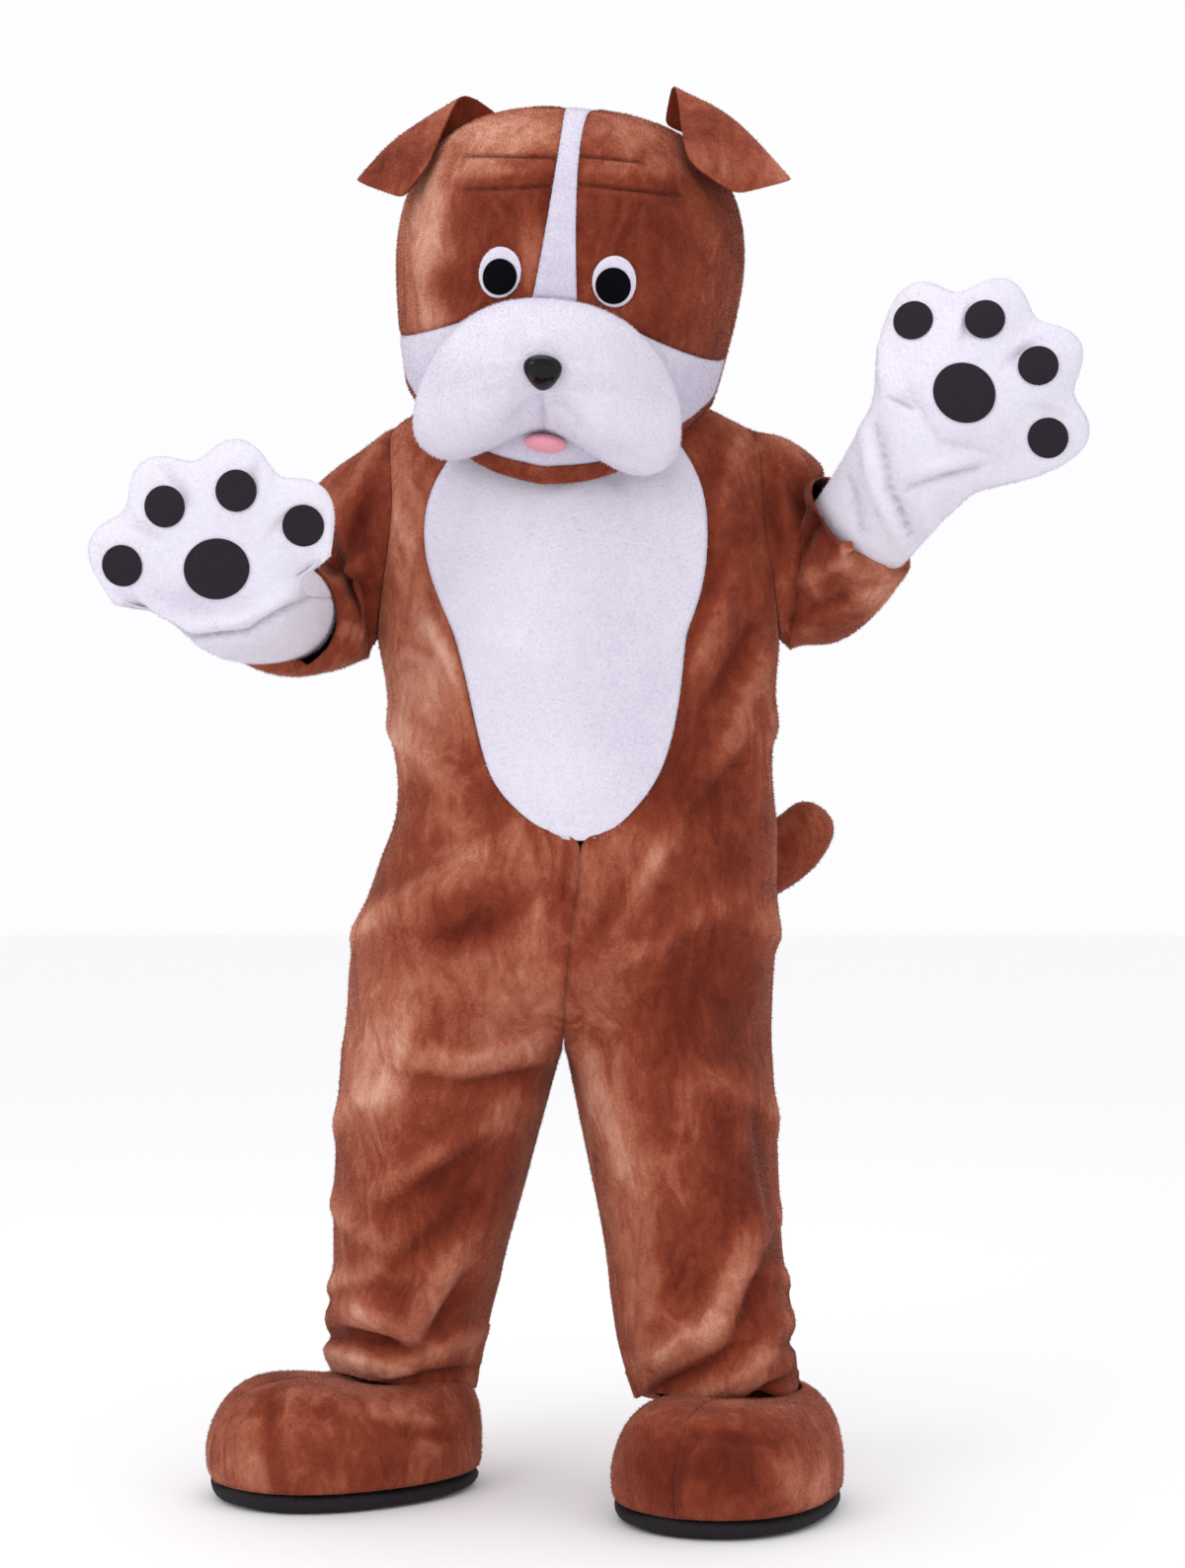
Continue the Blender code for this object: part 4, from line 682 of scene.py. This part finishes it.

# Head
# Brown face halves either side of the white blaze, brown back halves, a white jaw and a brown
# band under it. Two tucks cross each side of the forehead.
# Each tuck's trough line is darkened: painted shade in the crease.
TUCKS = [
    ((472, 158), (566, 160), 2.6, -3.0, 0.7), ((586, 158), (648, 165), 2.6, -3.0, 0.7),
    ((472, 192), (566, 188), 2.6, -2.4, 0.55), ((584, 186), (688, 198), 2.6, -2.8, 0.65),
    ((472, 163), (566, 165), 4, 1.8, 0.0), ((586, 163), (648, 170), 4, 1.8, 0.0),
    ((472, 197), (566, 193), 4, 1.6, 0.0), ((584, 191), (688, 203), 4, 1.8, 0.0),
    ((480, 172), (560, 174), 13, 4, 0.0), ((590, 172), (680, 180), 13, 4, 0.0),
]
# Face nap blots: lighter at the left side and top, darker in the middle and on the right; painted light and
# shade.
FACE_NAP_AND_LIGHT = {
    "left": [((430, 250), (34, 130), 0.86), ((500, 135), (90, 30), 0.82), ((480, 170), (90, 12), 0.74),
             ((500, 220), (34, 34), 0.42), ((545, 200), (24, 40), 0.36), ((460, 290), (30, 26), 0.40),
             ((540, 262), (16, 44), 0.72), ((530, 165), (26, 8), 0.45)],
    "right": [((640, 135), (60, 26), 0.66), ((680, 160), (50, 20), 0.6), ((650, 230), (80, 60), 0.30),
              ((720, 250), (30, 80), 0.40), ((640, 172), (60, 8), 0.48), ((690, 330), (40, 30), 0.34)],
}
HEAD_HEM_BELOW = 0.09
for name in ("left", "right"):
    face = cloth_piece(
        f"face_{name}", f"head_face_{name}", 4, BROWN, [("front", TUCKS)],
        (0.42, FACE_NAP_AND_LIGHT[name]), sink=0.0015,
    )
    # The back halves' nap is lighter on the left and darker on the right: painted light and shade.
    back = cloth_piece(
        f"head_back_{name}", f"head_rear_{name}", 3, BROWN,
        [("back", [((600, 200), (500, 215), 18, 3, 0.0), ((600, 210), (700, 220), 18, 3, 0.0)])],
        (0.5, [((500, 220), (70, 60), 0.66), ((680, 260), (60, 70), 0.34)]),
        lambda co: co.z < HEAD_HEM_BELOW, 0.0015,
    )
    pile_pieces += [(face, 26000, MIDDLE_PILE), (back, 16000, LONG_PILE)]
blaze = cloth_piece("blaze", "head_blaze", 3, WHITE, (), (0.6, ()), sink=0.0012)
jaw = cloth_piece(
    "jaw", "head_jaw", 3, WHITE,
    [("front", [((425, 330), (440, 420), 10, -3, 0.0), ((700, 370), (690, 430), 10, -3, 0.0)])],
    (0.55, [((430, 350), (26, 30), 0.75), ((560, 470), (60, 10), 0.5)]), sink=0.0018,
)
band = cloth_piece("chin_band", "head_chin_band", 3, BROWN, (), (0.55, ()), lambda co: True)
pile_pieces += [(blaze, 5000, SPARSE_PILE), (jaw, 16000, MIDDLE_PILE), (band, 5000, SHORT_PILE)]

# Muzzle, nose, tongue
# A stuffed muzzle with two hanging jowls, pinched under the nose; a felt tongue; and a moulded
# nose, smooth enough for one sharp highlight on the black.
# The lines of the pinch under the nose are darkened: painted shade in the cleft.
muzzle = stuffed(
    "muzzle", "head_muzzle", 2, WHITE,
    [("front", [
        ((547, 398), (550, 436), 6, -5, 0.1), ((538, 404), (512, 430), 9, -3, 0.05),
        ((520, 392), (480, 396), 9, -2.5, 0.0), ((560, 404), (588, 428), 9, -3, 0.05),
        ((572, 392), (615, 400), 10, -2.5, 0.0), ((475, 330), (440, 370), 12, 4, 0.0),
        ((500, 452), (462, 470), 10, -3, 0.0), ((612, 452), (655, 470), 10, -3, 0.0),
        ((546, 350), (546, 334), 20, 3, 0.0), ((500, 372), (455, 390), 14, -3, 0.0),
        ((590, 385), (650, 400), 16, -3, 0.0),
    ])],
    (0.72, [((500, 350), (60, 40), 0.82), ((640, 430), (60, 50), 0.95), ((460, 430), (50, 50), 0.95)]),
)
pile_pieces.append((muzzle, 30000, LONG_PILE))
nose_material, _, nose_shader, _ = shader_tools("black_moulded_plastic")
nose_shader.inputs["Base Color"].default_value = hex_colour("#020202")
nose_shader.inputs["Roughness"].default_value = 0.16
nose_shader.inputs["Specular IOR Level"].default_value = 0.22
nose_shader.inputs["Coat Weight"].default_value = 0.06
nose_shader.inputs["Coat Roughness"].default_value = 0.08
nose = smoothed("nose_moulded", cad_copy("nose", False), 2)
finish(nose, "nose", nose_material)
tongue = smoothed("tongue_felt", cad_copy("tongue", False), 3)
finish(tongue, "tongue", PINK)

# Eyes
# White plush patches, and discs of open black mesh that the wearer looks through. Its threads are
# 1.2 mm apart. It is matt, and gives back almost no light.
mesh_material, mesh_tree, mesh_shader, mesh_node = shader_tools("black_eye_mesh")
MESH_WAVES = 260.0
mesh_place = mesh_node("ShaderNodeTexCoord").outputs["Object"]
threads = [
    mesh_node(
        "ShaderNodeTexWave", Vector=mesh_place, Scale=MESH_WAVES, Distortion=0.4, bands_direction=way
    ).outputs["Fac"]
    for way in ("X", "Z")
]
weave = maths(mesh_tree, "MAXIMUM", *threads)
mesh_tree.links.new(
    ramp(mesh_tree, weave, ((0.35, "#020203"), (0.9, "#0d0c11"))), mesh_shader.inputs["Base Color"]
)
weave_bump = mesh_node("ShaderNodeBump", Height=weave, Strength=0.6, Distance=0.0006)
mesh_tree.links.new(weave_bump.outputs["Normal"], mesh_shader.inputs["Normal"])
mesh_shader.inputs["Roughness"].default_value = 0.9
mesh_shader.inputs["Specular IOR Level"].default_value = 0.04
for name in ("left", "right"):
    patch = stuffed(f"eye_white_{name}", f"eye_patch_{name}", 2, WHITE, (), (0.7, ()))
    pile_pieces.append((patch, 1600, SPARSE_PILE))
    disc = smoothed(f"eye_disc_{name}", cad_copy(f"eye_mesh_{name}", False), 2)
    finish(disc, f"eye_mesh_{name}", mesh_material)

# Ears
# Folded leaves, two cloths each, the lining's nap set darker than the outer's as painted shade under the
# fold. The left one's root is drawn out to the head.
EAR_REACH = 0.023
for name in ("left", "right"):
    for part, base in (("outer", 0.5), ("lining", 0.3)):
        leaf = cloth_piece(
            f"ear_{part}_{name}", f"ear_{part}_cloth_{name}", 2, BROWN, (),
            (base, [((770, 150), (40, 40), 0.62), ((390, 160), (30, 30), 0.36)]), sheet_only=False,
        )
        if name == "left":
            points, _ = arrays(leaf.data)
            inward = (points[:, 0] - points[:, 0].min()) / np.ptp(points[:, 0])
            points[:, 0] += EAR_REACH * inward**1.5
            place_points(leaf.data, points)
        pile_pieces.append((leaf, 7000, SHORT_PILE))

# Mitts
# White palms and backs with toe lobes, and gauntlets that go up inside the sleeves.
# The pads are drawn a little larger than their solids, since felt spreads where it is glued.
PAD_SWELL = 1.12
# Creases between the toe lobes are darkened, and the nap is darker at the lobes: painted shade.
for name, rows in (
    ("left",
     [((165, 470), (190, 510), 9, -7, 0.0), ((262, 470), (240, 505), 9, -7, 0.0),
      ((130, 530), (165, 545), 9, -6, 0.0), ((144, 606), (196, 634), 9, 9, 0.0),
      ((190, 636), (250, 628), 9, 9, 0.0), ((248, 628), (312, 590), 9, 9, 0.0),
      ((146, 620), (196, 647), 5, -8, 0.5), ((192, 648), (252, 641), 5, -8, 0.5),
      ((250, 641), (314, 604), 5, -8, 0.5), ((290, 520), (270, 545), 8, -4, 0.0)]),
    ("right",
     [((985, 300), (975, 345), 9, -7, 0.0), ((1050, 345), (1020, 365), 9, -7, 0.0),
      ((1085, 420), (1050, 410), 8, -5, 0.0), ((892, 350), (898, 405), 11, 8, 0.0),
      ((900, 402), (925, 412), 8, -8, 0.3), ((873, 430), (884, 494), 10, 8, 0.0),
      ((884, 494), (912, 552), 9, 8, 0.0), ((886, 430), (900, 490), 7, -8, 0.3),
      ((898, 490), (922, 540), 7, -8, 0.3), ((858, 483), (872, 540), 7, -7, 0.2),
      ((930, 500), (940, 545), 9, 7, 0.0), ((916, 496), (991, 474), 9, -7, 0.25),
      ((925, 482), (1000, 462), 11, 7, 0.0), ((921, 393), (953, 446), 10, -5, 0.1),
      ((953, 446), (1000, 457), 10, -4, 0.1)]),
):
    for part in ("palm", "back"):
        mitt = cloth_piece(
            f"mitt_{part}_{name}", f"mitt_{part}_cloth_{name}", 3 if part == "palm" else 2, WHITE,
            [("front", rows)] if part == "palm" else (),
            (0.92, [((200, 610), (70, 20), 0.6), ((1000, 450), (50, 26), 0.7)]), sink=0.001,
        )
        pile_pieces.append((mitt, 17000, SHORT_PILE))
    for pad in ("heel_pad", *[f"toe_pad_{n}" for n in range(1, 5)]):
        node = f"heel_pad_{name}" if pad == "heel_pad" else f"toe_pad_{name}_{pad[-1]}"
        disc = smoothed(f"{node}_felt", cad_copy(node, False), 2)
        points, _ = arrays(disc.data)
        middle = points.mean(axis=0)
        place_points(disc.data, middle + (points - middle) * PAD_SWELL)
        finish(disc, node, FELT)

# Boot covers
# Brown uppers with a seam over the toe, on black padded soles.
BOOT_TOP_ABOVE = -1.29
for name, rows in (
    ("left",
     [((275, 1405), (270, 1450), 8, -5, 0.0), ((300, 1400), (290, 1440), 12, 6, 0.0),
      ((350, 1425), (430, 1440), 12, 6, 0.0), ((400, 1450), (470, 1460), 10, -5, 0.0)]),
    ("right",
     [((690, 1440), (760, 1450), 10, 5, 0.0), ((700, 1455), (790, 1462), 9, -4, 0.0)]),
):
    for half in ("one", "two"):
        # Nap blots: the left boot's outer side lighter and most of the right boot darker, painted light and
        # shade.
        upper = cloth_piece(
            f"boot_{half}_{name}", f"boot_{half}_cloth_{name}", 3, BROWN,
            [("front", rows)],
            (0.5, [((240, 1480), (30, 50), 0.6), ((380, 1470), (70, 30), 0.42), ((725, 1485), (80, 50), 0.22),
                   ((820, 1500), (40, 34), 0.66)]),
            lambda co: co.z > BOOT_TOP_ABOVE, 0.002,
        )
        pile_pieces.append((upper, 9000, MIDDLE_PILE))
    sole = smoothed(f"sole_cloth_{name}", cad_copy(f"sole_{name}", False), 2)
    finish(sole, f"sole_{name}", SOLE)

# Pile
# Short fibres, 3 mm long, stand out over the plush and lean downwards, so that its edges are soft.
# They are 0.7 mm wide at the root, much coarser than real ones, so as to show.
FIBRE_HALF_WIDTH = 0.11
LEAST_LEAN, MOST_LEAN = (-0.75, -0.75, -1.15), (0.75, 0.75, 0.25)
SHORTEST, LONGEST = 0.55, 1.15
FULL_TURN = 6.283


def blade(half_width):
    """One fibre a unit long, to be scaled: a narrow triangle that bends over."""
    mesh = bpy.data.meshes.new("fibre")
    mesh.from_pydata([(-half_width, 0, 0), (half_width, 0, 0), (0, 0.35, 1)], [], [(0, 1, 2)])
    made = bpy.data.objects.new("fibre", mesh)
    scene.collection.objects.link(made)
    return made


fibre = blade(FIBRE_HALF_WIDTH)


def pile_nodes():
    """The nodes that scatter fibres over a cloth, turned along its normals."""
    group = bpy.data.node_groups.new("pile", "GeometryNodeTree")
    for socket, kind in (
        ("Geometry", "NodeSocketGeometry"), ("Density", "NodeSocketFloat"), ("Length", "NodeSocketFloat"),
        ("Seed", "NodeSocketInt"), ("Fibre", "NodeSocketObject"), ("Material", "NodeSocketMaterial"),
    ):
        group.interface.new_socket(socket, in_out="INPUT", socket_type=kind)
    group.interface.new_socket("Geometry", in_out="OUTPUT", socket_type="NodeSocketGeometry")
    links, nodes = group.links, group.nodes
    given, result = nodes.new("NodeGroupInput"), nodes.new("NodeGroupOutput")
    scatter = nodes.new("GeometryNodeDistributePointsOnFaces")
    links.new(given.outputs["Geometry"], scatter.inputs["Mesh"])
    links.new(given.outputs["Density"], scatter.inputs["Density"])
    links.new(given.outputs["Seed"], scatter.inputs["Seed"])
    lean = nodes.new("ShaderNodeVectorMath")
    lean.operation = "ADD"
    wild = nodes.new("FunctionNodeRandomValue")
    wild.data_type = "FLOAT_VECTOR"
    wild.inputs["Min"].default_value = LEAST_LEAN
    wild.inputs["Max"].default_value = MOST_LEAN
    links.new(given.outputs["Seed"], wild.inputs["Seed"])
    links.new(scatter.outputs["Normal"], lean.inputs[0])
    links.new(wild.outputs["Value"], lean.inputs[1])
    turn = nodes.new("FunctionNodeAlignRotationToVector")
    turn.axis = "Z"
    links.new(lean.outputs["Vector"], turn.inputs["Vector"])
    spin = nodes.new("FunctionNodeRotateRotation")
    spin.rotation_space = "LOCAL"
    about = nodes.new("FunctionNodeRandomValue")
    about.data_type = "FLOAT_VECTOR"
    about.inputs["Min"].default_value = (0, 0, 0)
    about.inputs["Max"].default_value = (0, 0, FULL_TURN)
    links.new(turn.outputs["Rotation"], spin.inputs["Rotation"])
    links.new(about.outputs["Value"], spin.inputs["Rotate By"])
    size = nodes.new("FunctionNodeRandomValue")
    size.inputs[2].default_value = SHORTEST
    size.inputs[3].default_value = LONGEST
    links.new(given.outputs["Seed"], size.inputs["Seed"])
    scale = nodes.new("ShaderNodeMath")
    scale.operation = "MULTIPLY"
    links.new(size.outputs[1], scale.inputs[0])
    links.new(given.outputs["Length"], scale.inputs[1])
    what = nodes.new("GeometryNodeObjectInfo")
    links.new(given.outputs["Fibre"], what.inputs["Object"])
    put = nodes.new("GeometryNodeInstanceOnPoints")
    links.new(scatter.outputs["Points"], put.inputs["Points"])
    links.new(what.outputs["Geometry"], put.inputs["Instance"])
    links.new(spin.outputs["Rotation"], put.inputs["Rotation"])
    links.new(scale.outputs["Value"], put.inputs["Scale"])
    real = nodes.new("GeometryNodeRealizeInstances")
    paint_it = nodes.new("GeometryNodeSetMaterial")
    links.new(put.outputs["Instances"], real.inputs["Geometry"])
    links.new(real.outputs["Geometry"], paint_it.inputs["Geometry"])
    links.new(given.outputs["Material"], paint_it.inputs["Material"])
    links.new(paint_it.outputs["Geometry"], result.inputs["Geometry"])
    return group


PILE = pile_nodes()


def add_pile(cloth, count, length, seed):
    """Fibres over one piece of cloth, as a piece of their own."""
    area = sum(face.area for face in cloth.data.polygons)
    made = bpy.data.objects.new(f"{cloth.name}_pile", cloth.data.copy())
    scene.collection.objects.link(made)
    modifier = made.modifiers.new("pile", "NODES")
    modifier.node_group = PILE
    values = {"Density": count / area, "Length": length, "Seed": seed, "Fibre": fibre,
              "Material": cloth.data.materials[0]}
    for item in PILE.interface.items_tree:
        if item.in_out == "INPUT" and item.name in values:
            modifier[item.identifier] = values[item.name]
    graph = bpy.context.evaluated_depsgraph_get()
    graph.update()
    made.data = bpy.data.meshes.new_from_object(made.evaluated_get(graph))
    made.modifiers.clear()
    made.data.name = made.name
    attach(made, "root")
    return made


for number, (cloth, count, length) in enumerate(pile_pieces):
    add_pile(cloth, count, length, number)
bpy.data.objects.remove(fibre)
